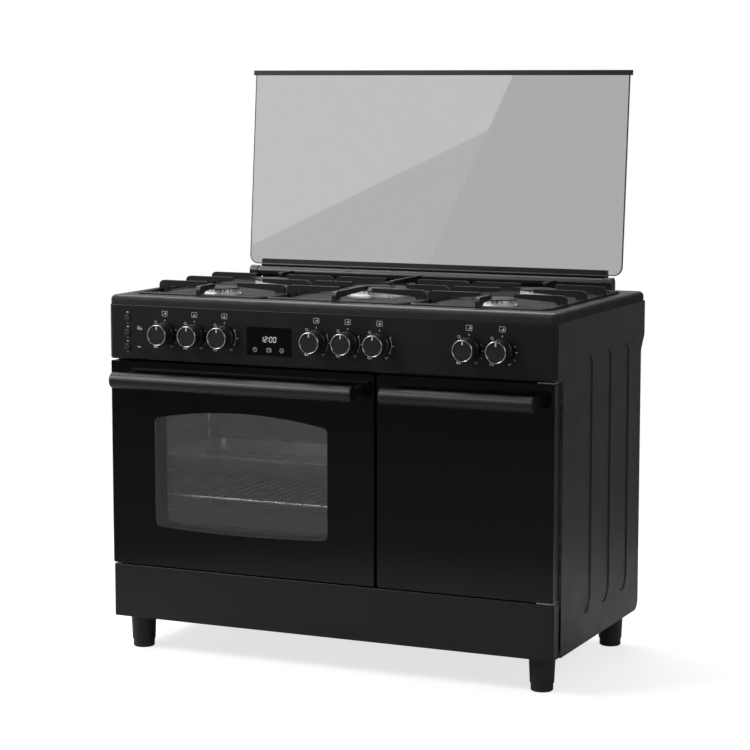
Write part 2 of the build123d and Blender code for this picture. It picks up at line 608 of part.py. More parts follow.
def cabinet_liner():
    """Face frame of the cylinder compartment with the wall that parts it from the oven."""
    frame = span(DOOR_DIVIDE, X_INNER, FRONT_LAYER, OVEN_Y0, FRAME_LOW, FRAME_TOP)
    frame -= span(CABINET_DOOR[0] + CABINET_FRAME, CABINET_DOOR[1] - CABINET_FRAME,
                  FRONT_LAYER - CUT, OVEN_Y0 + CUT,
                  Z_DOOR_LOW + CABINET_FRAME, Z_DOOR_TOP - CABINET_FRAME)
    front = FRONT_LAYER + SHEET
    rear = Y_TOE - SHEET
    inner = Y_BACK - SHEET
    side = outline((FRONT_LAYER, FRAME_LOW, 0), (front, FRAME_LOW, 0), (front, Z_BASE + SHEET, 0),
                   (rear, Z_BASE + SHEET, 0), (rear, Z_BASE + LIP, 0), (inner - SIDE_CORNER, Z_BASE + LIP, 0),
                   (inner, Z_BASE + LIP + SIDE_CORNER, 0), (inner, FRAME_TOP, 0), (FRONT_LAYER, FRAME_TOP, 0))
    return frame + across(side, DOOR_DIVIDE, DOOR_DIVIDE + SHEET)


def burner_cups():
    """Cup of each burner under the hob, with its neck through the hob."""
    under = Z_FLOOR - SHEET
    points = [(0, under - CUP_DEPTH), (CUP_RADIUS, under - CUP_DEPTH), (CUP_RADIUS, under),
              (NECK_RADIUS, under), (NECK_RADIUS, Z_FLOOR + HEAD_FOOT / 2), (0, Z_FLOOR + HEAD_FOOT / 2)]
    return Compound([turned(points, x, y).solid() for x, y in SIDE_BURNERS + [(0, WOK_Y)]])


def ported(ring, x, y, radius, count, base):
    """Ring with gas ports cut through its crown."""
    blades = Part()
    for i in range(count):
        cut = Pos(radius, 0, base + PORT_HEIGHT / 2) * Box(2 * CROWN_WALL, PORT_WIDTH, PORT_HEIGHT)
        blades += Pos(x, y, 0) * Rot(0, 0, (i + 0.5) * 360 / count) * cut
    return ring - blades


def burner_head(x, y):
    """Single burner: turned foot and a crown with radial ports."""
    foot = Z_FLOOR + HEAD_FOOT
    bore = NECK_RADIUS + HOLE_GAP
    inner = CROWN_RADIUS - CROWN_WALL
    points = [(bore, Z_FLOOR), (HEAD_RADIUS, Z_FLOOR), (HEAD_RADIUS, foot), (CROWN_RADIUS, foot),
              (CROWN_RADIUS, Z_CROWN), (inner, Z_CROWN), (inner, foot), (bore, foot)]
    middle = CROWN_RADIUS - CROWN_WALL / 2
    return ported(turned(points, x, y), x, y, middle, PORT_COUNT, Z_CROWN - PORT_HEIGHT)


def wok_head():
    """Wok burner: broad foot, outer crown and inner crown, both ported."""
    foot = Z_FLOOR + HEAD_FOOT
    bore = NECK_RADIUS + HOLE_GAP
    outer = WOK_CROWN_RADIUS - CROWN_WALL
    inner = WOK_INNER_RADIUS - CROWN_WALL / 2
    points = [(bore, Z_FLOOR), (WOK_RADIUS, Z_FLOOR), (WOK_RADIUS, foot), (WOK_CROWN_RADIUS, foot),
              (WOK_CROWN_RADIUS, Z_CROWN), (outer, Z_CROWN), (outer, foot), (WOK_INNER_RADIUS, foot),
              (WOK_INNER_RADIUS, Z_CROWN), (inner, Z_CROWN), (inner, foot), (bore, foot)]
    return ported(turned(points, 0, WOK_Y), 0, WOK_Y, WOK_CROWN_RADIUS - CROWN_WALL / 2, WOK_PORT_COUNT,
                  Z_CROWN - PORT_HEIGHT)


def burner_heads():
    """Five aluminium heads."""
    return Compound([burner_head(x, y).solid() for x, y in SIDE_BURNERS] + [wok_head().solid()])


def cap(x, y, radius, spigot):
    """Enamelled cap with a bevelled edge, seated in its crown by a spigot."""
    top = Z_CROWN + CAP_HEIGHT
    points = [(0, Z_CROWN - CAP_HEIGHT), (spigot, Z_CROWN - CAP_HEIGHT), (spigot, Z_CROWN), (radius, Z_CROWN),
              (radius, Z_CROWN + CAP_HEIGHT / 2), (radius - CAP_BEVEL, top - CAP_DOME), (radius / 2, top),
              (0, top)]
    return turned(points, x, y).solid()


def wok_ring_cap():
    """Ring-shaped cap of the wok burner's outer crown."""
    spigot = WOK_CROWN_RADIUS - CROWN_WALL - HOLE_GAP
    inner = WOK_INNER_RADIUS + 2 * CROWN_WALL
    low, top = Z_CROWN - CAP_HEIGHT, Z_CROWN + CAP_HEIGHT
    points = [(inner, Z_CROWN), (inner, low), (spigot, low), (spigot, Z_CROWN), (WOK_CAP_RADIUS, Z_CROWN),
              (WOK_CAP_RADIUS, Z_CROWN + CAP_HEIGHT / 2), (WOK_CAP_RADIUS - CAP_BEVEL, top),
              (inner + CAP_DOME, top)]
    return turned(points, 0, WOK_Y).solid()


def burner_caps():
    """Caps of the four single burners, and the wok burner's ring and middle cap."""
    spigot = CROWN_RADIUS - CROWN_WALL - HOLE_GAP
    caps = [cap(x, y, CAP_RADIUS, spigot) for x, y in SIDE_BURNERS]
    middle = WOK_INNER_RADIUS - CROWN_WALL / 2 - HOLE_GAP
    return Compound(caps + [wok_ring_cap(), cap(0, WOK_Y, WOK_INNER_RADIUS, middle)])


def spark_electrodes():
    """Ceramic spark electrode with its metal tip, beside each burner."""
    low = Z_FLOOR - CUP_DEPTH / 2
    high = Z_FLOOR + SPARK_HEIGHT
    points = [(0, low), (SPARK_RADIUS, low), (SPARK_RADIUS, high), (SPARK_TIP, high),
              (SPARK_TIP, high + SPARK_TIP_HEIGHT), (0, high + SPARK_TIP_HEIGHT)]
    return Compound([turned(points, x, y).solid() for x, y in spark_places()])


def gas_manifold():
    """Gas rail with a tap behind each knob, and the pipe to the inlet spigot at the back."""
    rail = rod((KNOB_X[0] - RAIL_END, RAIL_Y, Z_KNOB), (INLET_X, RAIL_Y, Z_KNOB), RAIL_RADIUS)
    neck = DEPTH + INLET_NECK
    rail += rod((INLET_X, RAIL_Y - RAIL_RADIUS, Z_KNOB), (INLET_X, neck, Z_KNOB), RAIL_RADIUS)
    rail += rod((INLET_X, neck, Z_KNOB), (INLET_X, neck + INLET_REACH, Z_KNOB), INLET_RADIUS)
    nose = SHEET + TAP_NOSE
    for x in KNOB_X:
        rail += rod((x, SHEET, Z_KNOB), (x, nose + TAP_LENGTH, Z_KNOB), TAP_RADIUS)
    for x in KNOB_X:
        rail -= rod((x, 0, Z_KNOB), (x, nose, Z_KNOB), SPINDLE_HOLE_RADIUS)
        rail -= rod((x, 0, Z_KNOB), (x, nose + TAP_BORE, Z_KNOB), SPINDLE_RADIUS + RUNNING_GAP)
    return rail


def tap_spindle(x):
    """Tap spindle with a flat on the length that the knob slides on."""
    tip = KNOB_FACE + KNOB_TRAVEL + 2 * KNOB_GAP + KNOB_RIM
    tail = SHEET + TAP_NOSE + TAP_BORE - SEAT_GAP
    spindle = rod((x, tip, Z_KNOB), (x, tail, Z_KNOB), SPINDLE_RADIUS)
    return spindle - span(x - SPINDLE_RADIUS, x + SPINDLE_RADIUS, tip - CUT, 0, Z_KNOB + SPINDLE_FLAT,
                          Z_KNOB + 2 * SPINDLE_RADIUS)


def knob(x):
    """Knob with a skirt, a slightly tapered grip, a dished face and a flatted bore."""
    face_in = KNOB_FACE_RADIUS - KNOB_RIM
    skirt = KNOB_FOOT - KNOB_SKIRT
    dish = KNOB_FACE + KNOB_DISH
    points = [(0, KNOB_FOOT), (KNOB_BASE_RADIUS, KNOB_FOOT), (KNOB_BASE_RADIUS, skirt),
              (KNOB_BASE_RADIUS - KNOB_EDGE, skirt - KNOB_EDGE), (KNOB_FACE_RADIUS, KNOB_FACE + KNOB_EDGE),
              (KNOB_FACE_RADIUS - KNOB_EDGE, KNOB_FACE), (face_in, KNOB_FACE), (face_in - KNOB_EDGE, dish),
              (0, dish)]
    body = Pos(x, 0, Z_KNOB) * revolve(make_face(Polyline(*points, close=True)), axis=Axis.Y)
    end = KNOB_FACE + KNOB_RIM
    bore = rod((x, end, Z_KNOB), (x, 0, Z_KNOB), SPINDLE_RADIUS + RUNNING_GAP)
    bore -= span(x - 2 * SPINDLE_RADIUS, x + 2 * SPINDLE_RADIUS, end - CUT, CUT,
                 Z_KNOB + SPINDLE_FLAT + RUNNING_GAP, Z_KNOB + 2 * SPINDLE_RADIUS)
    return body - bore


def push_button(z):
    """Button through the panel, kept in by a collar behind the sheet."""
    collar = SHEET + BUTTON_GAP
    button = rod((BUTTON_X, -BUTTON_PROUD, z), (BUTTON_X, BUTTON_BACK, z), BUTTON_RADIUS)
    button = fillet(button.edges().sort_by(Axis.Y)[0], BUTTON_PROUD / 2)
    behind = collar + BUTTON_COLLAR
    return button + rod((BUTTON_X, collar, z), (BUTTON_X, behind, z), BUTTON_RADIUS + BUTTON_COLLAR)


def timer_display():
    """Timer: a thin glass bezel on the panel and its case behind."""
    half_w = TIMER_WIDTH / 2
    half_h = TIMER_HEIGHT / 2
    bezel = span(TIMER_X - half_w, TIMER_X + half_w, -TIMER_PROUD, 0, TIMER_Z - half_h, TIMER_Z + half_h)
    in_w = half_w - TIMER_LAP - BUTTON_GAP
    in_h = half_h - TIMER_LAP - BUTTON_GAP
    return bezel + span(TIMER_X - in_w, TIMER_X + in_w, 0, TIMER_BODY, TIMER_Z - in_h, TIMER_Z + in_h)


def door_glass(limits):
    """Outer glass of a door."""
    x0, x1 = limits
    face = outline(*[(x, z, DOOR_CORNER) for x, z in ((x0, Z_DOOR_LOW), (x1, Z_DOOR_LOW), (x1, Z_DOOR_TOP),
                                                      (x0, Z_DOOR_TOP))])
    return Pos(0, GLASS, 0) * extrude(Plane.XZ * face, amount=GLASS)


def door_pan(limits, chamfer):
    """Pressed door frame: rear wall and four sides, with an optional chamfer low at the back."""
    x0, x1 = limits[0] + FRAME_INSET, limits[1] - FRAME_INSET
    z0, z1 = Z_DOOR_LOW + FRAME_INSET, Z_DOOR_TOP - FRAME_INSET
    inner = chamfer + SHEET * (2 * DIAGONAL - 1)
    outer_face = [(GLASS, z0, 0), (DOOR_DEPTH - chamfer, z0, 0), (DOOR_DEPTH, z0 + chamfer, 0),
                  (DOOR_DEPTH, z1, 0), (GLASS, z1, 0)]
    rear = DOOR_DEPTH - SHEET
    inner_face = [(0, z0 + SHEET, 0), (rear - inner + SHEET, z0 + SHEET, 0), (rear, z0 + inner, 0),
                  (rear, z1 - SHEET, 0), (0, z1 - SHEET, 0)]
    return across(outline(*outer_face), x0, x1) - across(outline(*inner_face), x0 + SHEET, x1 - SHEET)


def oven_hinge_places():
    """Middle of each oven door hinge."""
    return (OVEN_DOOR[0] + OVEN_HINGE_INSET, OVEN_DOOR[1] - OVEN_HINGE_INSET)


def oven_opening():
    """Opening of the oven door frame as x and z limits."""
    return (OVEN_DOOR[0] + WINDOW_SIDE, OVEN_DOOR[1] - WINDOW_SIDE,
            Z_DOOR_LOW + WINDOW_LOW, Z_DOOR_TOP - WINDOW_TOP)


def oven_door_frame():
    """Frame of the oven door with its window opening and the lugs that turn on the hinge pins."""
    frame = door_pan(OVEN_DOOR, DOOR_CHAMFER)
    x0, x1, z0, z1 = oven_opening()
    hole = outline(*[(x, z, WINDOW_ROUND) for x, z in ((x0, z0), (x1, z0), (x1, z1), (x0, z1))])
    frame -= Pos(0, DOOR_DEPTH + SHEET, 0) * extrude(Plane.XZ * hole, amount=3 * SHEET)
    room = HINGE_ARM / 2 + HINGE_ROOM
    low = Z_DOOR_LOW + FRAME_INSET
    top = OVEN_AXIS_Z + HINGE_NOTCH_TOP
    for x in oven_hinge_places():
        frame += span(x - room - HINGE_LUG, x + room + HINGE_LUG, GLASS, HINGE_DEPTH + 2 * HINGE_PIN_RADIUS,
                      low, top)
    for x in oven_hinge_places():
        frame -= span(x - room, x + room, HINGE_DEPTH - HINGE_NOTCH_FRONT, DOOR_DEPTH + CUT, Z_DOOR_LOW, top)
        reach = room + HINGE_LUG + CUT
        frame -= rod((x - reach, HINGE_DEPTH, OVEN_AXIS_Z), (x + reach, HINGE_DEPTH, OVEN_AXIS_Z),
                     HINGE_PIN_RADIUS + RUNNING_GAP)
    return frame


def oven_door_inner_glass():
    """Heat-resisting pane on the inside of the frame."""
    x0, x1, z0, z1 = oven_opening()
    rear = DOOR_DEPTH - SHEET
    lap = INNER_GLASS_LAP
    return span(x0 - lap, x1 + lap, rear - GLASS, rear, z0 - lap, z1 + lap)


def oven_hinge(x):
    """Hinge of the oven door: plate on the flange, arm into the door's notch, and the pin."""
    half = HINGE_ARM / 2
    arm_low = OVEN_AXIS_Z - HINGE_NOTCH_FRONT + RUNNING_GAP
    arm_top = OVEN_AXIS_Z + HINGE_NOTCH_FRONT - RUNNING_GAP
    arm = across(outline((HINGE_DEPTH, arm_low, 0), (FRONT_LAYER, arm_low, 0), (FRONT_LAYER, arm_top, 0),
                         (HINGE_DEPTH, arm_top, 0)), x - half, x + half)
    round_end = arm_top - OVEN_AXIS_Z
    arm += rod((x - half, HINGE_DEPTH, OVEN_AXIS_Z), (x + half, HINGE_DEPTH, OVEN_AXIS_Z), round_end)
    reach = half + HINGE_ROOM + HINGE_LUG
    arm += rod((x - reach, HINGE_DEPTH, OVEN_AXIS_Z), (x + reach, HINGE_DEPTH, OVEN_AXIS_Z), HINGE_PIN_RADIUS)
    plate = span(x - half - HINGE_ROOM / 2, x + half + HINGE_ROOM / 2, FRONT_LAYER - SHEET, FRONT_LAYER,
                 arm_low, arm_top + HINGE_LUG)
    return (arm + plate).solid()


def pivot_plate(low):
    """Plate in the seam over or under the cabinet door, with the pin that the door turns on."""
    z_mid = Z_DOOR_LOW - SEAM / 2 if low else Z_DOOR_TOP + SEAM / 2
    z0, z1 = z_mid - PIVOT_PLATE / 2, z_mid + PIVOT_PLATE / 2
    x = CABINET_AXIS_X
    x0, x1 = x + PIVOT_NOSE - PIVOT_PLATE_WIDTH, x + PIVOT_NOSE
    front = HINGE_DEPTH - PIVOT_NOSE
    plan = outline((x0, front, PIVOT_NOSE / 2), (x1, front, PIVOT_NOSE / 2), (x1, FRONT_LAYER, 0),
                   (x0, FRONT_LAYER, 0))
    plate = Pos(0, 0, z0) * extrude(plan, amount=z1 - z0)
    end = z1 + PIVOT_PIN_LENGTH if low else z0 - PIVOT_PIN_LENGTH
    return (plate + rod((x, HINGE_DEPTH, z_mid), (x, HINGE_DEPTH, end), PIVOT_PIN_RADIUS)).solid()


def door_hinges():
    """Two oven door hinges and the two pivot plates of the cabinet door."""
    return Compound([oven_hinge(x) for x in oven_hinge_places()] + [pivot_plate(True), pivot_plate(False)])


def cabinet_door_frame():
    """Frame of the cabinet door with the lugs for its upper and lower pivot pin."""
    frame = door_pan(CABINET_DOOR, DOOR_CHAMFER)
    half = PIVOT_LUG / 2
    x = CABINET_AXIS_X
    right = CABINET_DOOR[1] - FRAME_INSET
    for z0, z1 in ((Z_DOOR_LOW + FRAME_INSET, Z_DOOR_LOW + FRAME_INSET + PIVOT_LUG),
                   (Z_DOOR_TOP - FRAME_INSET - PIVOT_LUG, Z_DOOR_TOP - FRAME_INSET)):
        frame += span(x - half, right, GLASS, HINGE_DEPTH + half, z0, z1)
        frame -= rod((x, HINGE_DEPTH, z0 - CUT), (x, HINGE_DEPTH, z1 + CUT), PIVOT_PIN_RADIUS + RUNNING_GAP)
    return frame


def bar_handle(limits):
    """Round bar across a door on two end posts."""
    x0, x1 = limits[0] + HANDLE_INSET, limits[1] - HANDLE_INSET
    z = Z_DOOR_TOP - HANDLE_DROP
    bar = rod((x0, -HANDLE_STAND, z), (x1, -HANDLE_STAND, z), HANDLE_RADIUS)
    bar = fillet(bar.edges().filter_by(GeomType.CIRCLE), HANDLE_END_ROUND)
    for start in (x0, x1 - POST_WIDTH):
        post = span(start, start + POST_WIDTH, -HANDLE_STAND, 0, z - POST_HEIGHT / 2, z + POST_HEIGHT / 2)
        bar += fillet(post.edges().filter_by(Axis.Y), POST_ROUND)
    return bar


def foot_sleeves():
    """Four fixed sleeves under the base tray."""
    flange = SLEEVE_RADIUS + SLEEVE_FLANGE
    bore = STEM_RADIUS + STEM_GAP
    roof = PAD_HEIGHT + STEM_LENGTH + STEM_GAP
    points = [(bore, PAD_HEIGHT), (SLEEVE_TIP_RADIUS, PAD_HEIGHT), (SLEEVE_RADIUS, Z_BASE - SLEEVE_FLANGE),
              (flange, Z_BASE - SLEEVE_FLANGE), (flange, Z_BASE), (0, Z_BASE), (0, roof), (bore, roof)]
    return Compound([turned(points, x, y).solid() for x, y in FEET])


def foot_adjuster(x, y):
    """Screw-in foot: broad pad and a stem inside its sleeve."""
    top = PAD_HEIGHT - SEAT_GAP
    points = [(0, 0), (PAD_RADIUS - PAD_CHAMFER, 0), (PAD_RADIUS, PAD_CHAMFER), (PAD_RADIUS, top),
              (STEM_RADIUS, top), (STEM_RADIUS, PAD_HEIGHT + STEM_LENGTH), (0, PAD_HEIGHT + STEM_LENGTH)]
    return turned(points, x, y)


def finger(length):
    """Upright blade from its rail at u = length to its tip at u = 0, arched over the hob."""
    leg = length - FINGER_LEG
    face = outline((0, Z_FINGER - FINGER_TIP, FINGER_NOSE), (leg, Z_FINGER - FINGER_DEPTH, FINGER_ARCH),
                   (leg, Z_RAIL, 0), (length, Z_RAIL, 0),
                   (length, Z_FINGER, FINGER_SHOULDER), (0, Z_FINGER, FINGER_NOSE))
    return extrude(Plane.XZ * face, amount=FINGER_THICK / 2, both=True)


def pan_support(x_middle, half, reach_front, reach_mid, front_tip):
    """Cast support: low perimeter rail on studs, with three fingers a side and one at either end."""
    depth = SUPPORT_REAR - SUPPORT_FRONT
    y_middle = (SUPPORT_FRONT + SUPPORT_REAR) / 2
    ring = RectangleRounded(2 * half, depth, RAIL_CORNER)
    ring -= RectangleRounded(2 * half - 2 * RAIL_WIDTH, depth - 2 * RAIL_WIDTH, RAIL_CORNER - RAIL_WIDTH)
    rail = extrude(Pos(x_middle, y_middle, Z_RAIL) * ring, amount=RAIL_HEIGHT)
    rail = chamfer(rail.faces().sort_by(Axis.Z)[-1].edges(), RAIL_CHAMFER)
    for turn in (0, 180):
        for y, reach in ((FRONT_BURNER_Y, reach_front), (WOK_Y, reach_mid), (REAR_BURNER_Y, reach_front)):
            rail += Pos(x_middle, y, 0) * Rot(0, 0, turn) * Pos(reach, 0, 0) * finger(half - reach)
    front = front_tip - SUPPORT_FRONT
    rail += Pos(x_middle, front_tip, 0) * Rot(0, 0, -90) * finger(front)
    rear_tip = 2 * WOK_Y - front_tip
    rail += Pos(x_middle, rear_tip, 0) * Rot(0, 0, 90) * finger(SUPPORT_REAR - rear_tip)
    stud_x = half - RAIL_WIDTH / 2
    for sx in (-1, 1):
        for y in (FRONT_BURNER_Y, REAR_BURNER_Y):
            x = x_middle + sx * stud_x
            rail += rod((x, y, Z_FLOOR + SEAT_GAP), (x, y, Z_RAIL + RAIL_HEIGHT / 2), STUD_RADIUS)
    return rail


def side_support(side):
    """Left (-1) or right (1) pan support over two single burners."""
    inner = 2 * SIDE_BURNER_X - SUPPORT_SIDE
    half = (SUPPORT_SIDE - inner) / 2
    return pan_support(side * SIDE_BURNER_X, half, TIP_RADIUS, TIP_RADIUS, FRONT_BURNER_Y - TIP_RADIUS)


def middle_support():
    """Pan support over the wok burner."""
    half = 2 * SIDE_BURNER_X - SUPPORT_SIDE - SUPPORT_GAP
    return pan_support(0, half, TIP_RADIUS, WOK_TIP_RADIUS, WOK_Y - WOK_TIP_RADIUS)


def lean(piece):
    """Piece drawn upright about the lid's axis, set in its open place."""
    return Pos(0, LID_AXIS_Y, LID_AXIS_Z) * Rot(-LID_LEAN, 0, 0) * piece


def lid_glass():
    """Toughened glass lid with rounded lower corners."""
    half = LID_WIDTH / 2
    top = LID_GLASS_START + LID_LENGTH
    face = outline((-half, LID_GLASS_START, LID_CORNER), (half, LID_GLASS_START, LID_CORNER), (half, top, 0),
                   (-half, top, 0))
    return lean(Pos(0, LID_GLASS_STAND + GLASS, 0) * extrude(Plane.XZ * face, amount=GLASS))


def lid_trim():
    """Edge strip along the free edge of the glass."""
    half = LID_WIDTH / 2 + TRIM_OVERHANG
    top = LID_GLASS_START + LID_LENGTH
    y0, y1 = LID_GLASS_STAND, LID_GLASS_STAND + GLASS
    low = top + TRIM_WALL - TRIM_HEIGHT
    face = outline((y0 - TRIM_WALL, low, 0), (y0, low, 0), (y0, top, 0), (y1, top, 0), (y1, low, 0),
                   (y1 + TRIM_WALL, low, 0), (y1 + TRIM_WALL, top + TRIM_WALL, TRIM_WALL / 2),
                   (y0 - TRIM_WALL, top + TRIM_WALL, TRIM_WALL / 2))
    return lean(across(face, -half, half))


def lid_hinge_rail():
    """Hinge tube with the clamp profile that grips the lower edge of the glass."""
    half = LID_BRACKET_X - LID_END_GAP
    rail = rod((-half, 0, 0), (half, 0, 0), LID_TUBE_RADIUS)
    y0, y1 = LID_GLASS_STAND, LID_GLASS_STAND + GLASS
    low = LID_GLASS_START - CLAMP_WALL
    top = low + CLAMP_HEIGHT
    inside = LID_TUBE_RADIUS / 2
    clamp = outline((inside, 0, 0), (y1 + CLAMP_WALL, low, 0), (y1 + CLAMP_WALL, top, CLAMP_ROUND),
                    (y1, top, 0), (y1, LID_GLASS_START, 0), (y0, LID_GLASS_START, 0), (y0, top, 0),
                    (y0 - CLAMP_WALL, top, CLAMP_ROUND), (y0 - CLAMP_WALL, low, 0), (0, inside, 0))
    rail += across(clamp, -half, half)
    bead = (y0 - CLAMP_WALL, low + CLAMP_BEAD)
    rail += rod((-half, *bead), (half, *bead), CLAMP_BEAD)
    for side in (-1, 1):
        start = side * (half - LID_PIN_LENGTH)
        rail -= rod((start, 0, 0), (side * (half + CUT), 0, 0), LID_PIN_RADIUS + RUNNING_GAP)
    return lean(rail)


def lid_bracket():
    """Right lid bracket: an ear on the rear rim of the hob with the hinge pin."""
    y0, y1 = LID_AXIS_Y - LID_EAR_RADIUS, LID_AXIS_Y + LID_EAR_RADIUS
    top = LID_AXIS_Z + LID_EAR_RADIUS
    face = outline((y0, HEIGHT, 0), (y1, HEIGHT, 0), (y1, top, LID_EAR_ROUND), (y0, top, LID_EAR_ROUND))
    x = LID_BRACKET_X
    bracket = across(face, x, x + LID_BRACKET_WIDTH)
    inner = x + LID_END_GAP - LID_PIN_LENGTH
    outer = x + LID_BRACKET_WIDTH / 2
    return bracket + rod((inner, LID_AXIS_Y, LID_AXIS_Z), (outer, LID_AXIS_Y, LID_AXIS_Z), LID_PIN_RADIUS)


def lid_hinge_brackets():
    """Both lid brackets."""
    right = lid_bracket()
    left = mirror(right, about=Plane.YZ)
    return Compound([left.solid(), right.solid()])


def build_nodes():
    """Every piece under its name."""
    right_side = side_panel()
    nodes = {
        "side_panel_left": mirror(right_side, about=Plane.YZ),
        "side_panel_right": right_side,
        "back_panel": back_panel(),
        "base_tray": base_tray(),
        "hob_top": hob_top(),
        "control_panel": control_panel(),
        "plinth": plinth(),
        "oven_cavity": oven_cavity(),
        "door_seal": door_seal(),
        "oven_floor_plate": oven_floor_plate(),
        "oven_burners": oven_burners(),
        "shelf_ladders": shelf_ladders(),
        "wire_shelf": wire_shelf(),
        "baking_tray": baking_tray(),
        "cabinet_liner": cabinet_liner(),
        "burner_cups": burner_cups(),
        "burner_heads": burner_heads(),
        "burner_caps": burner_caps(),
        "spark_electrodes": spark_electrodes(),
        "gas_manifold": gas_manifold(),
        "timer_display": timer_display(),
        "door_hinges": door_hinges(),
        "lid_hinge_brackets": lid_hinge_brackets(),
        "foot_sleeves": foot_sleeves(),
        "oven_door_glass": door_glass(OVEN_DOOR),
        "oven_door_frame": oven_door_frame(),
        "oven_door_inner_glass": oven_door_inner_glass(),
        "oven_door_handle": bar_handle(OVEN_DOOR),
        "cabinet_door_glass": door_glass(CABINET_DOOR),
        "cabinet_door_frame": cabinet_door_frame(),
        "cabinet_door_handle": bar_handle(CABINET_DOOR),
        "lid_glass": lid_glass(),
        "lid_trim": lid_trim(),
        "lid_hinge_rail": lid_hinge_rail(),
        "pan_support_left": side_support(-1),
        "pan_support_middle": middle_support(),
        "pan_support_right": side_support(1),
    }
    for i, x in enumerate(KNOB_X, 1):
        nodes[f"tap_spindle_{i}"] = tap_spindle(x)
        nodes[f"knob_{i}"] = knob(x)
    for i, z in enumerate(BUTTON_Z, 1):
        nodes[f"push_button_{i}"] = push_button(z)
    for i, (x, y) in enumerate(FEET, 1):
        nodes[f"foot_adjuster_{i}"] = foot_adjuster(x, y)
    return nodes


def middle_of_depth(nodes):
    """Middle of the whole part along y."""
    boxes = [shape.bounding_box() for shape in nodes.values()]
    return (min(box.min.Y for box in boxes) + max(box.max.Y for box in boxes)) / 2


os.makedirs("parts", exist_ok=True)
NODES = build_nodes()
SHIFT = -middle_of_depth(NODES)
for name, shape in NODES.items():
    export_step(Pos(0, SHIFT, 0) * shape, f"parts/{name}.step")
print(f"{len(NODES)} pieces, door faces at y = {SHIFT:.3f}")
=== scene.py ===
"""Looks of the freestanding gas cooker: finishes, printed signs, trims, stage, light and camera.

Pieces are drawn in millimetres as (x, depth behind the door faces, height above the floor).
"""
import math

import bmesh
import bpy
from mathutils import Matrix, Vector


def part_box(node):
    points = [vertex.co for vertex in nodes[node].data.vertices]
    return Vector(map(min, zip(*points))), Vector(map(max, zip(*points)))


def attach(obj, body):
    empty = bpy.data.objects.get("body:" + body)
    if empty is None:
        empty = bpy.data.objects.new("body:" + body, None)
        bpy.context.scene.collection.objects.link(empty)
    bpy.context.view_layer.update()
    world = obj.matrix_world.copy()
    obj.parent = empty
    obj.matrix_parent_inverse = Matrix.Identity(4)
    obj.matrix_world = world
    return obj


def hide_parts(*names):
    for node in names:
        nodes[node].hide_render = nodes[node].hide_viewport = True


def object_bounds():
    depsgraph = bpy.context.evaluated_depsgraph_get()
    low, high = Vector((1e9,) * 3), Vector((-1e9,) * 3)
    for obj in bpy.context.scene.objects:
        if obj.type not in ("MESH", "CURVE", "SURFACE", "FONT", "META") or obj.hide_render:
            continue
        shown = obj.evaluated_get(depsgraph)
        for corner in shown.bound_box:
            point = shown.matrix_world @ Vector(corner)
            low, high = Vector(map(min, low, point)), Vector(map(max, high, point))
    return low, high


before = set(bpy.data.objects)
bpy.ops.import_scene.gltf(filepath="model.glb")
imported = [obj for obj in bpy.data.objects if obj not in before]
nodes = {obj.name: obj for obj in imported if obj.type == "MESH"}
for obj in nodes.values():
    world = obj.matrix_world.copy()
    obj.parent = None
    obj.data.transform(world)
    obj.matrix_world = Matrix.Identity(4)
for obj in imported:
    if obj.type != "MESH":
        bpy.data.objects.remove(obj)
cad_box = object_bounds()
scene = bpy.context.scene
scene.view_settings.view_transform = "Standard"

MM = 0.001
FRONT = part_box("cabinet_door_glass")[0].y
TO_FRAME = Matrix.Translation((0, FRONT, 0)) @ Matrix.Scale(MM, 4)
KNOBS = range(1, 9)
BUTTONS = range(1, 4)
FEET = range(1, 5)


def limits(name):
    """Lowest and highest corner of a node in the drawing's millimetres."""
    return [(p.x / MM, (p.y - FRONT) / MM, p.z / MM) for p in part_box(name)]


def middle(name):
    """Middle of a node as seen from the front: x and height."""
    low, high = limits(name)
    return (low[0] + high[0]) / 2, (low[2] + high[2]) / 2


# Finishes

def linear(text):
    """sRGB hex to linear colour."""
    parts = [int(text[i:i + 2], 16) / 255 for i in (1, 3, 5)]
    return tuple(c / 12.92 if c <= 0.04045 else ((c + 0.055) / 1.055) ** 2.4 for c in parts) + (1.0,)


def add(tree, kind, props=None, first=(), **inputs):
    """Add one node with its inputs: first by place, the others by name with _ for a space.

    An input is a value, a socket or a node, which stands for its first output.
    """
    item = tree.nodes.new("ShaderNode" + kind)
    for name, value in (props or {}).items():
        setattr(item, name, value)
    named = [(item.inputs[name.replace("_", " ")], value) for name, value in inputs.items()]
    for socket, value in list(zip(item.inputs, first)) + named:
        if isinstance(value, bpy.types.Node):
            value = value.outputs[0]
        if isinstance(value, bpy.types.NodeSocket):
            tree.links.new(value, socket)
        else:
            socket.default_value = value
    return item


def start(name):
    """A new material, its empty tree and the place on the piece in metres."""
    material = bpy.data.materials.new(name)
    material.use_nodes = True
    tree = material.node_tree
    tree.nodes.clear()
    return material, tree, add(tree, "TexCoord").outputs["Object"]


def coated(material, **sockets):
    """The material with its shader, which the values and patterns feed."""
    shader = add(material.node_tree, "BsdfPrincipled", **sockets)
    add(material.node_tree, "OutputMaterial", Surface=shader)
    return material


def per_metre(size_mm):
    """Texture scale that gives features of that size."""
    return 1 / (size_mm * MM)


def vitreous_enamel(name, colour, low, high):
    """Fired enamel on steel: glossy, a faint orange peel, gloss that varies a little over a hand's width."""
    material, tree, where = start(name)
    haze = add(tree, "TexNoise", Vector=where, Scale=per_metre(80), Detail=3.0)
    rough = add(tree, "MapRange", Value=haze, From_Min=0.3, From_Max=0.7, To_Min=low, To_Max=high)
    peel = add(tree, "TexNoise", Vector=where, Scale=per_metre(3), Detail=2.0)
    bump = add(tree, "Bump", Height=peel, Strength=0.06, Distance=0.2 * MM)
    return coated(material, Base_Color=linear(colour), IOR=1.5, Roughness=rough, Normal=bump)


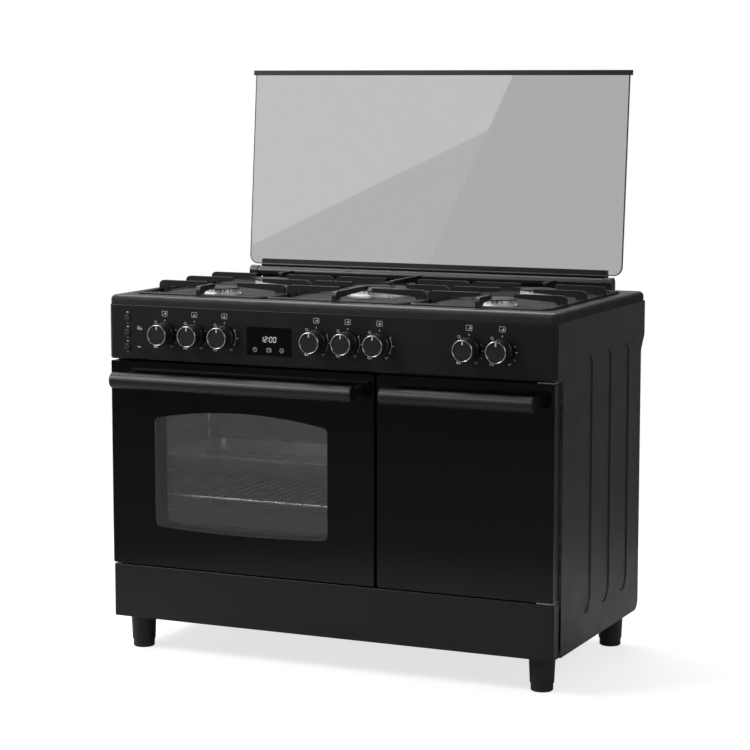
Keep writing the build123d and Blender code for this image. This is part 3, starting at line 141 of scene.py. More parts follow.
WELL_Z, RIM_Z = 831.5, 835.0


def hob_enamel():
    """Fired enamel of the hob: satin on the rolled rim, scoured duller in the well where pans boil over."""
    material, tree, where = start("hob_enamel")
    height = add(tree, "SeparateXYZ", Vector=where).outputs["Z"]
    dull = add(tree, "MapRange", Value=height, From_Min=WELL_Z * MM, From_Max=RIM_Z * MM,
               To_Min=0.70, To_Max=0.32)
    haze = add(tree, "TexNoise", Vector=where, Scale=per_metre(60), Detail=3.0)
    streak = add(tree, "MapRange", Value=haze, From_Min=0.3, From_Max=0.7, To_Min=-0.05, To_Max=0.05)
    rough = add(tree, "Math", {"operation": "ADD"}, (dull, streak))
    peel = add(tree, "TexNoise", Vector=where, Scale=per_metre(3), Detail=2.0)
    bump = add(tree, "Bump", Height=peel, Strength=0.02, Distance=0.2 * MM)
    return coated(material, Base_Color=linear("#121212"), IOR=1.5, Roughness=rough, Normal=bump)


def oven_enamel():
    """Ground-coat enamel of an oven: dark grey glass with pale flecks, drawn coarser than real to show."""
    material, tree, where = start("oven_ground_enamel")
    fleck = add(tree, "TexVoronoi", Vector=where, Scale=per_metre(5), Randomness=1.0)
    spot = add(tree, "MapRange", Value=fleck.outputs["Distance"], From_Min=0.10, From_Max=0.16,
               To_Min=1.0, To_Max=0.0)
    cloud = add(tree, "TexNoise", Vector=where, Scale=per_metre(40), Detail=3.0)
    ground = add(tree, "MixRGB", Fac=cloud, Color1=linear("#2b2c2e"), Color2=linear("#38393b"))
    colour = add(tree, "MixRGB", Fac=spot, Color1=ground, Color2=linear("#7d7f82"))
    return coated(material, Base_Color=colour, Roughness=0.3, IOR=1.5)


def cast_iron():
    """Sand-cast iron under matt enamel: black, grainy, a little uneven in gloss."""
    material, tree, where = start("matt_enamelled_cast_iron")
    grain = add(tree, "TexNoise", Vector=where, Scale=per_metre(1.5), Detail=4.0)
    colour = add(tree, "MixRGB", Fac=grain, Color1=linear("#0a0a0a"), Color2=linear("#161616"))
    rough = add(tree, "MapRange", Value=grain, To_Min=0.38, To_Max=0.55)
    bump = add(tree, "Bump", Height=grain, Strength=0.25, Distance=0.25 * MM)
    return coated(material, Base_Color=colour, IOR=1.5, Roughness=rough, Normal=bump)


def powder_coat():
    """Powder-coated steel: satin black with the pebble of the melted powder, drawn coarser than real to show."""
    material, tree, where = start("satin_powder_coat")
    pebble = add(tree, "TexNoise", Vector=where, Scale=per_metre(0.9), Detail=2.0)
    colour = add(tree, "MixRGB", Fac=pebble, Color1=linear("#0c0c0c"), Color2=linear("#141414"))
    rough = add(tree, "MapRange", Value=pebble, To_Min=0.38, To_Max=0.46)
    bump = add(tree, "Bump", Height=pebble, Strength=0.10, Distance=0.1 * MM)
    return coated(material, Base_Color=colour, IOR=1.5, Roughness=rough, Normal=bump)


def moulded_plastic(name, colour, gloss):
    """Injection-moulded ABS: an even satin skin with spark-eroded grain, drawn coarser than real to show."""
    material, tree, where = start(name)
    grain = add(tree, "TexNoise", Vector=where, Scale=per_metre(0.7), Detail=3.0)
    tone = add(tree, "TexNoise", Vector=where, Scale=per_metre(25), Detail=1.0)
    shade = add(tree, "MixRGB", Fac=tone, Color1=linear(colour), Color2=linear("#242424"))
    rough = add(tree, "MapRange", Value=grain, To_Min=gloss - 0.06, To_Max=gloss + 0.06)
    bump = add(tree, "Bump", Height=grain, Strength=0.12, Distance=0.08 * MM)
    return coated(material, Base_Color=shade, IOR=1.5, Roughness=rough, Normal=bump)


def bare_metal(name, colour, low, high, grain_mm, relief):
    """A bare metal: bright, with the grain that casting, drawing or turning leaves in its gloss."""
    material, tree, where = start(name)
    grain = add(tree, "TexNoise", Vector=where, Scale=per_metre(grain_mm), Detail=4.0)
    rough = add(tree, "MapRange", Value=grain, From_Min=0.3, From_Max=0.7, To_Min=low, To_Max=high)
    bump = add(tree, "Bump", Height=grain, Strength=relief, Distance=0.1 * MM)
    return coated(material, Base_Color=linear(colour), Metallic=1.0, Roughness=rough, Normal=bump)


def galvanised_steel():
    """Hot-dip zinc on sheet: grey crystals of about a fingertip's width, each a little different in gloss."""
    material, tree, where = start("galvanised_steel")
    spangle = add(tree, "TexVoronoi", Vector=where, Scale=per_metre(14))
    grey = add(tree, "RGBToBW", Color=spangle.outputs["Color"])
    colour = add(tree, "MixRGB", Fac=grey, Color1=linear("#85888b"), Color2=linear("#a5a8ab"))
    rough = add(tree, "MapRange", Value=grey, To_Min=0.32, To_Max=0.48)
    return coated(material, Base_Color=colour, Metallic=1.0, Roughness=rough)


def printed_glass():
    """Float glass printed black on the back: a deep mirror-like black, with rolled glass's long soft wave."""
    material, tree, where = start("black_printed_glass")
    wave = add(tree, "TexNoise", Vector=where, Scale=per_metre(220), Detail=1.0)
    smear = add(tree, "TexNoise", Vector=where, Scale=per_metre(60), Detail=4.0)
    rough = add(tree, "MapRange", Value=smear, From_Min=0.3, From_Max=0.8, To_Min=0.03, To_Max=0.07)
    bump = add(tree, "Bump", Height=wave, Strength=0.08, Distance=1.0 * MM)
    return coated(material, Base_Color=linear("#080808"), IOR=1.4, Roughness=rough, Normal=bump)


def clear_glass(name, colour, low, high):
    """Toughened float glass: clear with a grey tint, faint wipe marks in its gloss."""
    material, tree, where = start(name)
    smear = add(tree, "TexNoise", Vector=where, Scale=per_metre(70), Detail=3.0)
    rough = add(tree, "MapRange", Value=smear, From_Min=0.3, From_Max=0.8, To_Min=low, To_Max=high)
    return coated(material, Base_Color=linear(colour), IOR=1.5, Transmission_Weight=1.0, Roughness=rough)


def ground_edge_painted_shade():
    """Edge of toughened glass after the grinding wheel, with painted shade: dark grey for the dark line that
    refraction gives along a glass edge, matt, with the wheel's fine drag.
    """
    material, tree, where = start("ground_glass_edge_painted_shade")
    drag = add(tree, "TexNoise", Vector=where, Scale=per_metre(1.5), Detail=2.0)
    colour = add(tree, "MixRGB", Fac=drag, Color1=linear("#2b2d2e"), Color2=linear("#46494b"))
    return coated(material, Base_Color=colour, Roughness=0.45, IOR=1.5)


def silicone_seal():
    """Extruded silicone: matt grey with the fine drag of the die."""
    material, tree, where = start("grey_silicone")
    drag = add(tree, "TexNoise", Vector=where, Scale=per_metre(2), Detail=2.0)
    colour = add(tree, "MixRGB", Fac=drag, Color1=linear("#2a2a2a"), Color2=linear("#3b3b3b"))
    return coated(material, Base_Color=colour, Roughness=0.6, IOR=1.42)


def glazed_ceramic():
    """Glazed alumina: off-white, glassy, with a few faint darker specks."""
    material, tree, where = start("glazed_alumina")
    speck = add(tree, "TexNoise", Vector=where, Scale=per_metre(1), Detail=2.0)
    colour = add(tree, "MixRGB", Fac=speck, Color1=linear("#e9e6de"), Color2=linear("#d5d1c6"))
    return coated(material, Base_Color=colour, Roughness=0.2, IOR=1.55)


def screen_ink():
    """White screen-printing ink: flat, with the weak mottle of the mesh that it was pressed through."""
    material, tree, where = start("white_screen_ink")
    mottle = add(tree, "TexNoise", Vector=where, Scale=per_metre(0.6), Detail=1.0)
    colour = add(tree, "MixRGB", Fac=mottle, Color1=linear("#bdbdbd"), Color2=linear("#dedede"))
    return coated(material, Base_Color=colour, Roughness=0.5, IOR=1.45)


def lit_segments():
    """Lit display segments behind black glass: white light, a little uneven along each segment."""
    material, tree, where = start("lit_display_segments")
    glow = add(tree, "TexNoise", Vector=where, Scale=per_metre(3), Detail=1.0)
    level = add(tree, "MapRange", Value=glow, To_Min=0.6, To_Max=0.95)
    return coated(material, Base_Color=linear("#101010"), Roughness=0.1,
                  Emission_Color=linear("#f2f5f7"), Emission_Strength=level)


PAINTED = vitreous_enamel("satin_black_enamel", "#111111", low=0.30, high=0.38)
HOB_ENAMEL = hob_enamel()
CAP_ENAMEL = vitreous_enamel("matt_cap_enamel", "#0d0d0d", low=0.34, high=0.44)
TRAY_ENAMEL = vitreous_enamel("grey_tray_enamel", "#4e5053", low=0.24, high=0.32)
OVEN_ENAMEL = oven_enamel()
IRON = cast_iron()
POWDER = powder_coat()
KNOB_PLASTIC = moulded_plastic("knob_plastic", "#1b1b1b", gloss=0.36)
BUTTON_PLASTIC = moulded_plastic("button_plastic", "#2e2e2e", gloss=0.42)
FOOT_PLASTIC = moulded_plastic("foot_plastic", "#0f0f0f", gloss=0.5)
CHROME = bare_metal("chrome_plate", "#d9dbdd", low=0.06, high=0.14, grain_mm=8, relief=0.0)
WIRE = bare_metal("chromed_drawn_wire", "#d9dbdd", low=0.24, high=0.36, grain_mm=8, relief=0.0)
ALUMINIUM = bare_metal("cast_aluminium", "#f4f5f6", low=0.56, high=0.70, grain_mm=1.2, relief=0.08)
STEEL = bare_metal("bright_steel", "#b4b6b8", low=0.22, high=0.34, grain_mm=2, relief=0.05)
BRASS = bare_metal("turned_brass", "#c9a55a", low=0.2, high=0.32, grain_mm=2, relief=0.04)
GALVANISED = galvanised_steel()
BLACK_GLASS = printed_glass()
WINDOW_GLASS = clear_glass("window_float_glass", "#c9cbcc", low=0.01, high=0.03)
LID_GLASS = clear_glass("grey_lid_glass", "#acadaf", low=0.01, high=0.03)
# The ground glass edge is painted dark grey: painted shade for the dark line along the lid glass's edge.
GROUND_EDGE_PAINTED_SHADE = ground_edge_painted_shade()
SEAL = silicone_seal()
CERAMIC = glazed_ceramic()
INK = screen_ink()
LIT = lit_segments()

CAD_FINISH = {
    PAINTED: ("side_panel_left", "side_panel_right", "control_panel", "plinth", "cabinet_door_frame",
              "oven_door_frame", "lid_trim", "lid_hinge_rail", "lid_hinge_brackets"),
    HOB_ENAMEL: ("hob_top",),
    CAP_ENAMEL: ("burner_caps",),
    TRAY_ENAMEL: ("baking_tray",),
    OVEN_ENAMEL: ("oven_cavity", "oven_floor_plate"),
    IRON: ("pan_support_left", "pan_support_middle", "pan_support_right"),
    POWDER: ("oven_door_handle", "cabinet_door_handle"),
    KNOB_PLASTIC: tuple(f"knob_{i}" for i in KNOBS),
    BUTTON_PLASTIC: tuple(f"push_button_{i}" for i in BUTTONS),
    FOOT_PLASTIC: ("foot_sleeves",) + tuple(f"foot_adjuster_{i}" for i in FEET),
    WIRE: ("wire_shelf", "shelf_ladders"),
    ALUMINIUM: ("burner_heads", "burner_cups"),
    STEEL: ("oven_burners", "door_hinges") + tuple(f"tap_spindle_{i}" for i in KNOBS),
    BRASS: ("gas_manifold",),
    GALVANISED: ("back_panel", "base_tray", "cabinet_liner"),
    BLACK_GLASS: ("oven_door_glass", "cabinet_door_glass", "timer_display"),
    WINDOW_GLASS: ("oven_door_inner_glass",),
    LID_GLASS: ("lid_glass",),
    SEAL: ("door_seal",),
    CERAMIC: ("spark_electrodes",),
}
for finish, names in CAD_FINISH.items():
    for name in names:
        nodes[name].data.materials.clear()
        nodes[name].data.materials.append(finish)


# Making pieces

def placed(name, data):
    """A new object in the scene."""
    item = bpy.data.objects.new(name, data)
    scene.collection.objects.link(item)
    return item


def piece(name, mesh, body, finish):
    """A mesh drawn in millimetres becomes a named piece that rides on a body."""
    mesh.name = name
    mesh.transform(TO_FRAME)
    mesh.materials.clear()
    mesh.materials.append(finish)
    item = placed(name, mesh)
    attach(item, body)
    return item


def as_mesh(shape, name):
    """A finished bmesh as a mesh."""
    mesh = bpy.data.meshes.new(name)
    shape.to_mesh(mesh)
    shape.free()
    return mesh


def flat(loops, front, back):
    """A flat piece parallel to the front; loops of (x, z), and a loop inside another is a hole."""
    curve = bpy.data.curves.new("outline", "CURVE")
    curve.dimensions = "2D"
    curve.fill_mode = "BOTH"
    curve.extrude = (back - front) / 2
    for loop in loops:
        spline = curve.splines.new("POLY")
        spline.points.add(len(loop) - 1)
        spline.use_cyclic_u = True
        for point, (x, z) in zip(spline.points, loop):
            point.co = (x, z, 0, 1)
    holder = bpy.data.objects.new("outline", curve)
    mesh = bpy.data.meshes.new_from_object(holder)
    bpy.data.objects.remove(holder)
    bpy.data.curves.remove(curve)
    upright = Matrix.Rotation(math.pi / 2, 4, "X")
    mesh.transform(Matrix.Translation((0, (front + back) / 2, 0)) @ upright)
    return mesh


def merged(parts):
    """Several meshes in one."""
    shape = bmesh.new()
    for part in parts:
        shape.from_mesh(part)
        bpy.data.meshes.remove(part)
    return as_mesh(shape, "merged")


def joined(groups, front, back):
    """Several flat pieces in one mesh, each filled by itself."""
    return merged([flat(loops, front, back) for loops in groups])


def turned(profile, x, z, steps):
    """A turned piece about an axis along the depth; profile of (radius, depth)."""
    shape = bmesh.new()
    rows = []
    for k in range(steps):
        c, s = math.cos(2 * math.pi * k / steps), math.sin(2 * math.pi * k / steps)
        rows.append([shape.verts.new((x + r * c, d, z + r * s)) for r, d in profile])
    count = len(profile)
    for k in range(steps):
        here, after = rows[k], rows[(k + 1) % steps]
        for i in range(count):
            j = (i + 1) % count
            shape.faces.new((here[i], after[i], after[j], here[j]))
    bmesh.ops.recalc_face_normals(shape, faces=shape.faces)
    mesh = as_mesh(shape, "turned")
    mesh.shade_smooth()
    return mesh


CORNER_STEPS = 6
DISC_STEPS = 24
FLAME_STEPS = 16


def arc(x, z, radius, first, last, steps):
    """Points on a circle, angles in degrees from the right."""
    turn = [math.radians(first + (last - first) * k / steps) for k in range(steps + 1)]
    return [(x + radius * math.cos(t), z + radius * math.sin(t)) for t in turn]


def disc(x, z, radius):
    """A full circle."""
    return arc(x, z, radius, 0, 360 - 360 / DISC_STEPS, DISC_STEPS - 1)


def ring(x, z, radius, width):
    """A circle with a round hole."""
    return [disc(x, z, radius), disc(x, z, radius - width)]


def band(x, z, radius, width, first, last):
    """Part of a ring."""
    return arc(x, z, radius, first, last, DISC_STEPS) + arc(x, z, radius - width, last, first, DISC_STEPS)


def bar(x, z, inner, outer, angle, width):
    """A straight tick that points away from (x, z)."""
    c, s = math.cos(math.radians(angle)), math.sin(math.radians(angle))
    ends = ((inner, -width / 2), (outer, -width / 2), (outer, width / 2), (inner, width / 2))
    return [(x + u * c - v * s, z + u * s + v * c) for u, v in ends]


def rounded(x0, x1, z0, z1, radius):
    """A rectangle with round corners."""
    corners = ((x1 - radius, z1 - radius, 0), (x0 + radius, z1 - radius, 90),
               (x0 + radius, z0 + radius, 180), (x1 - radius, z0 + radius, 270))
    return [p for x, z, turn in corners for p in arc(x, z, radius, turn, turn + 90, CORNER_STEPS)]


def flame(x, z, size):
    """A plain drop with its point up."""
    tip = ((0.12, 0.28), (0.0, 0.5), (-0.14, 0.2))
    belly = arc(x, z - 0.2 * size, 0.34 * size, 150, 390, FLAME_STEPS)
    return belly + [(x + u * size, z + v * size) for u, v in tip]


# Oven door's glass: a black printed pane with a clear window

OVEN_WINDOW = (-432.0, 8.0, 302.0, 555.0)
WINDOW_CROWN = 22.0
WINDOW_BELLY = 7.0
WINDOW_CORNER = 12.0
WINDOW_PLAY = 0.05
WINDOW_STEPS = 40
GLASS_CORNER = 4.0


def window_outline(inset):
    """The window's edge, drawn in by the inset: slightly bowed below, crowned above."""
    x0, x1, z0, z1 = OVEN_WINDOW
    half = (x1 - x0) / 2
    r, steps = WINDOW_CORNER, CORNER_STEPS

    def bow(x, rise):
        return rise * (1 - ((x - x0 - half) / half) ** 2)

    across = [x0 + r + (x1 - x0 - 2 * r) * k / WINDOW_STEPS for k in range(WINDOW_STEPS + 1)]
    upper = [(x, z1 + bow(x, WINDOW_CROWN)) for x in reversed(across)]
    lower = [(x, z0 - bow(x, WINDOW_BELLY)) for x in across]
    top, foot = upper[0][1] - r, lower[0][1] + r
    right = arc(x1 - r, foot, r, 278, 360, steps) + arc(x1 - r, top, r, 0, 75, steps)
    left = arc(x0 + r, top, r, 105, 180, steps) + arc(x0 + r, foot, r, 180, 262, steps)
    heart = Vector((x0 + half, (z0 + z1) / 2))
    loop = [Vector(p) for p in lower + right + upper + left]
    return [tuple(p + (heart - p).normalized() * inset) for p in loop]


(gx0, gd0, gz0), (gx1, gd1, gz1) = limits("oven_door_glass")
face = flat([rounded(gx0, gx1, gz0, gz1, GLASS_CORNER), window_outline(0)], gd0, gd1)
border = piece("oven_glass_border", face, "oven_door", BLACK_GLASS)
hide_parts("oven_door_glass")
pane = flat([window_outline(WINDOW_PLAY)], gd0, gd1)
window = piece("oven_glass_window", pane, "oven_door", WINDOW_GLASS)
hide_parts("oven_door_glass")


# Lid: the ground edge of the glass, painted dark as the shade line along the glass edge, drawn upright about the
# hinge axis and leaned with the lid

LID_AXIS = Vector((0, 580.0, 851.5))
LID_LEAN = math.radians(5)
LID_HALF, LID_LOW, LID_TOP, LID_STAND = 493.0, 18.0, 500.0, 16.0
LID_CORNER, LID_CORNER_STEPS = 22.0, 8
EDGE_WIDTH, EDGE_PROUD, EDGE_SINK = 2.4, 0.1, 0.05


def lid_outline(inset):
    """The glass seen square on, with its lower corners round."""
    half, low, r = LID_HALF - inset, LID_LOW + inset, LID_CORNER - inset
    return ([(half, LID_TOP), (-half, LID_TOP)]
            + arc(-half + r, low + r, r, 180, 270, LID_CORNER_STEPS)
            + arc(half - r, low + r, r, 270, 360, LID_CORNER_STEPS))


# This strip on the glass face is painted dark grey: painted shade for the dark line along the lid glass's edge.
edge = flat([lid_outline(0), lid_outline(EDGE_WIDTH)], LID_STAND - EDGE_PROUD, LID_STAND + EDGE_SINK)
edge.transform(Matrix.Translation(LID_AXIS) @ Matrix.Rotation(-LID_LEAN, 4, "X"))
piece("lid_ground_edge_painted_shade", edge, "lid", GROUND_EDGE_PAINTED_SHADE)


# Baking tray: the rolled bead along its front rim

TRAY_CORNER = 30.0
BEAD_HEIGHT, BEAD_DEPTH = 5.0, 4.0
BEAD_RISE, BEAD_LEAD = 0.8, 1.5
tray_low, tray_high = limits("baking_tray")
bead_top, bead_front = tray_high[2] + BEAD_RISE, tray_low[1] - BEAD_LEAD
bead = rounded(tray_low[0] + TRAY_CORNER, tray_high[0] - TRAY_CORNER, bead_top - BEAD_HEIGHT, bead_top,
               BEAD_HEIGHT / 2)
bead = flat([bead], bead_front, bead_front + BEAD_DEPTH)
piece("tray_rim_bead", bead, "chassis", TRAY_ENAMEL)


# Rubber strip on the rear rim of the hob, which closes the slit under the hinge tube

STRIP_HALF, STRIP_LOW, STRIP_TOP = 455.0, 833.5, 842.0
STRIP_FRONT, STRIP_BACK = 593.6, 595.2
STRIP_CORNER = 1.0
strip = rounded(-STRIP_HALF, STRIP_HALF, STRIP_LOW, STRIP_TOP, STRIP_CORNER)
piece("lid_draught_strip", flat([strip], STRIP_FRONT, STRIP_BACK), "chassis", SEAL)


# Screws that hold the back panel: domed heads with a socket, down both sides, along the foot and the step

SCREW_RADIUS, SCREW_HEIGHT, SCREW_SINK = 5.0, 2.6, 0.3
SCREW_STEPS = 24
SCREW_COLUMNS, SCREW_ROWS = 5, 4
SOCKET_RADIUS, SOCKET_LIP = 1.9, 0.3
DOME = ((0.65, 0.92), (0.88, 0.65), (1.0, 0.25))
SCREW_EDGE, SCREW_FOOT, SCREW_HEAD = 14.0, 40.0, 20.0
SERVICE_STEP, STEP_DROP = 25.0, 114.0


def screw(x, z, d):
    """One head on the sheet at depth d."""
    socket = [(SOCKET_RADIUS, d - SCREW_SINK), (SOCKET_RADIUS, d + 0.9 * SCREW_HEIGHT),
              (SOCKET_RADIUS + SOCKET_LIP, d + SCREW_HEIGHT)]
    dome = [(u * SCREW_RADIUS, d + v * SCREW_HEIGHT) for u, v in DOME]
    return turned(socket + dome + [(SCREW_RADIUS, d - SCREW_SINK)], x, z, SCREW_STEPS)


(bx0, _, bz0), (bx1, back, bz1) = limits("back_panel")
span = bx1 - bx0 - 2 * SCREW_EDGE
columns = [bx0 + SCREW_EDGE + span * k / (SCREW_COLUMNS - 1) for k in range(SCREW_COLUMNS)]
rise = bz1 - STEP_DROP - bz0 - SCREW_FOOT - SCREW_HEAD
rows = [bz0 + SCREW_FOOT + rise * k / (SCREW_ROWS - 1) for k in range(SCREW_ROWS)]
screws = [screw(x, z, back - SERVICE_STEP) for x in (columns[0], columns[-1]) for z in rows]
screws += [screw(x, rows[0], back - SERVICE_STEP) for x in columns[1:-1]]
screws += [screw(x, bz1 - SCREW_EDGE, back) for x in columns]
piece("back_panel_screws", merged(screws), "chassis", STEEL)


# Knobs: a chrome ring round the face and a white pointer

RING_RADIUS, RING_WIDTH = 23.75, 1.8
RING_PROUD, RING_SINK, RING_FLARE = 0.5, 0.6, 0.1
RING_STEPS = 64
RING_CROWN = ((-1.0, 0.6), (-0.7, 1.0), (-0.3, 1.0), (0.0, 0.5))
POINTER_WIDTH, POINTER_LENGTH, POINTER_CORNER = 3.0, 9.0, 0.6
POINTER_GAP, POINTER_PROUD, POINTER_SINK = 0.2, 0.3, 1.6
for i in KNOBS:
    x, z = middle(f"knob_{i}")
    front = limits(f"knob_{i}")[0][1]
    crown = [(RING_RADIUS + u * RING_WIDTH, front - v * RING_PROUD) for u, v in RING_CROWN]
    profile = ([(RING_RADIUS - RING_WIDTH, front + RING_SINK)] + crown
               + [(RING_RADIUS + RING_FLARE, front + RING_SINK)])
    piece(f"knob_ring_{i}", turned(profile, x, z, RING_STEPS), f"knob_{i}", CHROME)
    top = z + RING_RADIUS - RING_WIDTH - POINTER_GAP
    line = rounded(x - POINTER_WIDTH / 2, x + POINTER_WIDTH / 2, top - POINTER_LENGTH, top, POINTER_CORNER)
    line = flat([line], front - POINTER_PROUD, front + POINTER_SINK)
    piece(f"knob_pointer_{i}", line, f"knob_{i}", INK)


# Printed signs on the panel, in millimetres from the middle of a knob or button

INK_PROUD, INK_SINK = 0.12, 0.05
STROKE = 1.0
ICON_WIDTH, ICON_HEIGHT, ICON_RISE = 14.5, 12.0, 46.5
ICON_LINES = ((0.0, 2.4), (STROKE, 1.5))                                 # inset, corner radius
ICON_FLAME = 6.4
ICON_MARKS = ((2.0, 1.0), (0.5, -1.0), (0.0, -0.5), (2.2, 0.6),
              (1.4, 0.8), (1.0, 0.0), (3.0, 0.4), (2.4, -0.2))           # place in the icon, knob by knob
DASH_PLACE, DASH_LENGTH, DASH_TURN = (-5.0, -2.6), 4.0, 40
SCALE_RADIUS = 29.0
TICKS = ((0.0, 4.0, 90, 1.9), (1.0, 6.0, -4, 1.7), (1.5, 6.5, -62, 2.0))  # start, end, angle, width
ARC_KNOBS = (3, 4, 5, 6)
ARC_TICKS = ((0.0, 3.5, 32, 1.4), (0.0, 3.5, -36, 1.4))
ARC_OUT, ARC_FIRST, ARC_LAST = 0.5, -38, 32
RIGHT_KNOBS = (7, 8)
LEFT_TICKS = ((0.0, 5.0, 176, 1.6),)
DOTS = ((19.5, -28.0, 1.3),)                                             # x, height, radius
SIDE_DOTS = ((28.5, 10.5, 1.0), (28.5, -19.0, 1.2))
FLAMES = ((-27.0, -29.5, 7.5), (-21.5, -30.5, 6.0))                      # x, height, size
SPARK_X, SPARK_Z, SPARK_RADIUS = -24.0, 26.0, 3.3
SPARK_RAY = (2.6, 6.0, -35, 1.2)                                         # start, end, angle, width
BUTTON_LINES = ((2.4, 11.5, 14.5, 1.3), (1.0, -13.0, -11.2, 0.6))        # half width, foot, top, corner
IGNITION_X, IGNITION_Z = -472.0, 762.0
IGNITION_RING, IGNITION_STROKE, IGNITION_FLAME = 4.2, 1.2, 4.4
IGNITION_SIDE = (6.5, -1.5, 6.0)                                         # x, height, size
LAMP_LINE = (-475.6, -466.4, 716.6, 719.4, 1.3)


def ticks(x, z, marks):
    """Short bars outside a knob's scale."""
    return [[bar(x, z, SCALE_RADIUS + inner, SCALE_RADIUS + outer, angle, width)]
            for inner, outer, angle, width in marks]


signs = []
for i in KNOBS:
    x, z = middle(f"knob_{i}")
    w, h, icon_z = ICON_WIDTH / 2, ICON_HEIGHT / 2, z + ICON_RISE
    signs.append([rounded(x - w + inset, x + w - inset, icon_z - h + inset, icon_z + h - inset, corner)
                  for inset, corner in ICON_LINES])
    mark_x, mark_z = x + ICON_MARKS[i - 1][0], icon_z + ICON_MARKS[i - 1][1]
    signs.append([flame(mark_x, mark_z, ICON_FLAME)])
    signs.append([bar(mark_x + DASH_PLACE[0], mark_z + DASH_PLACE[1], 0, DASH_LENGTH, DASH_TURN, STROKE)])
    signs += ticks(x, z, TICKS)
    signs += [[disc(x + u, z + v, radius)] for u, v, radius in DOTS]
    signs.append(ring(x + SPARK_X, z + SPARK_Z, SPARK_RADIUS, STROKE))
    signs.append([bar(x + SPARK_X, z + SPARK_Z, *SPARK_RAY)])
    signs += [[flame(x + u, z + v, size)] for u, v, size in FLAMES]
    if i in ARC_KNOBS:
        signs.append([band(x, z, SCALE_RADIUS + ARC_OUT, STROKE, ARC_FIRST, ARC_LAST)])
        signs += ticks(x, z, ARC_TICKS)
    else:
        signs += [[disc(x + u, z + v, radius)] for u, v, radius in SIDE_DOTS]
    if i in RIGHT_KNOBS:
        signs += ticks(x, z, LEFT_TICKS)
for i in BUTTONS:
    x, z = middle(f"push_button_{i}")
    signs += [[rounded(x - half, x + half, z + foot, z + top, corner)]
              for half, foot, top, corner in BUTTON_LINES]
u, v, size = IGNITION_SIDE
signs += [ring(IGNITION_X, IGNITION_Z, IGNITION_RING, IGNITION_STROKE),
          [flame(IGNITION_X, IGNITION_Z, IGNITION_FLAME)],
          [flame(IGNITION_X + u, IGNITION_Z + v, size)],
          [rounded(*LAMP_LINE)]]
panel_front = limits("control_panel")[0][1]
piece("panel_print", joined(signs, panel_front - INK_PROUD, panel_front + INK_SINK), "chassis", INK)


# Timer: lit digits and touch signs on the face of the display

TIMER_X = middle("timer_display")[0]
TIMER_PROUD, TIMER_SINK = 0.06, 0.05
SEGMENTS = {"0": "abcdef", "1": "bc", "2": "abged"}
DIGIT_WIDTH, DIGIT_HEIGHT, DIGIT_SLANT = 6.2, 11.4, 0.08
SEGMENT_WIDTH, SEGMENT_GAP = 1.4, 0.35
DIGITS_X, DIGITS_Z = TIMER_X - 21.0, 744.2
DIGITS = ((0.0, "1"), (9.6, "2"), (22.4, "0"), (32.0, "0"))
COLON, COLON_RADIUS = ((19.4, 3.2), (19.8, 8.2)), 0.85
TOUCH_Z = 726.0
CLOCKS = ((-35.0, 90), (32.0, 0))                                        # x, angle of the hand
CLOCK_RADIUS, CLOCK_STROKE = 5.2, 1.1
CLOCK_HANDS = ((-0.4, 3.2, 0), (0.6, 2.6, -110))                         # start, end, turn from the hand
KEY_LINES = ((5.8, 4.6, 2.0), (4.7, 3.5, 1.4))                           # half width, half height, corner
KEY_HANDS = ((0.0, -0.5, 2.6, 90), (-1.0, 0.6, 3.0, 0))                  # height, start, end, angle


def segment(x, z, key):
    """One bar of a digit whose lower left corner is at (x, z)."""
    w, h, s = DIGIT_WIDTH, DIGIT_HEIGHT / 2, SEGMENT_WIDTH / 2
    x0, z0, x1, z1 = {"a": (0, 2 * h, w, 2 * h), "b": (w, h, w, 2 * h), "c": (w, 0, w, h), "d": (0, 0, w, 0),
                      "e": (0, 0, 0, h), "f": (0, h, 0, 2 * h), "g": (0, h, w, h)}[key]
    if z0 == z1:
        x0, x1 = x0 + SEGMENT_GAP, x1 - SEGMENT_GAP
        loop = [(x0, z0), (x0 + s, z0 + s), (x1 - s, z0 + s), (x1, z0), (x1 - s, z0 - s), (x0 + s, z0 - s)]
    else:
        z0, z1 = z0 + SEGMENT_GAP, z1 - SEGMENT_GAP
        loop = [(x0, z0), (x0 + s, z0 + s), (x0 + s, z1 - s), (x0, z1), (x0 - s, z1 - s), (x0 - s, z0 + s)]
    return [(x + u + DIGIT_SLANT * v, z + v) for u, v in loop]


timer_front = limits("timer_display")[0][1]
lit = [segment(DIGITS_X + shift, DIGITS_Z, key) for shift, digit in DIGITS for key in SEGMENTS[digit]]
lit += [disc(DIGITS_X + u, DIGITS_Z + v, COLON_RADIUS) for u, v in COLON]
piece("timer_digits", flat(lit, timer_front - TIMER_PROUD, timer_front + TIMER_SINK), "chassis", LIT)
signs = [[rounded(TIMER_X - w, TIMER_X + w, TOUCH_Z - h, TOUCH_Z + h, corner) for w, h, corner in KEY_LINES]]
signs += [[bar(TIMER_X, TOUCH_Z + v, inner, outer, angle, STROKE)] for v, inner, outer, angle in KEY_HANDS]
for shift, hand in CLOCKS:
    x = TIMER_X + shift
    signs.append(ring(x, TOUCH_Z, CLOCK_RADIUS, CLOCK_STROKE))
    signs += [[bar(x, TOUCH_Z, inner, outer, hand + turn, STROKE)] for inner, outer, turn in CLOCK_HANDS]
touch = joined(signs, timer_front - TIMER_PROUD, timer_front + TIMER_SINK)
piece("timer_touch_signs", touch, "chassis", INK)


# Stage, light and camera

FLOOR_RADIUS, FLOOR_RIM, FLOOR_STEPS = 1.9, 1.1, 96
FLOOR_BEHIND, FLOOR_DROP = 0.35, 0.0002
FLOOR_GLOW = 0.73


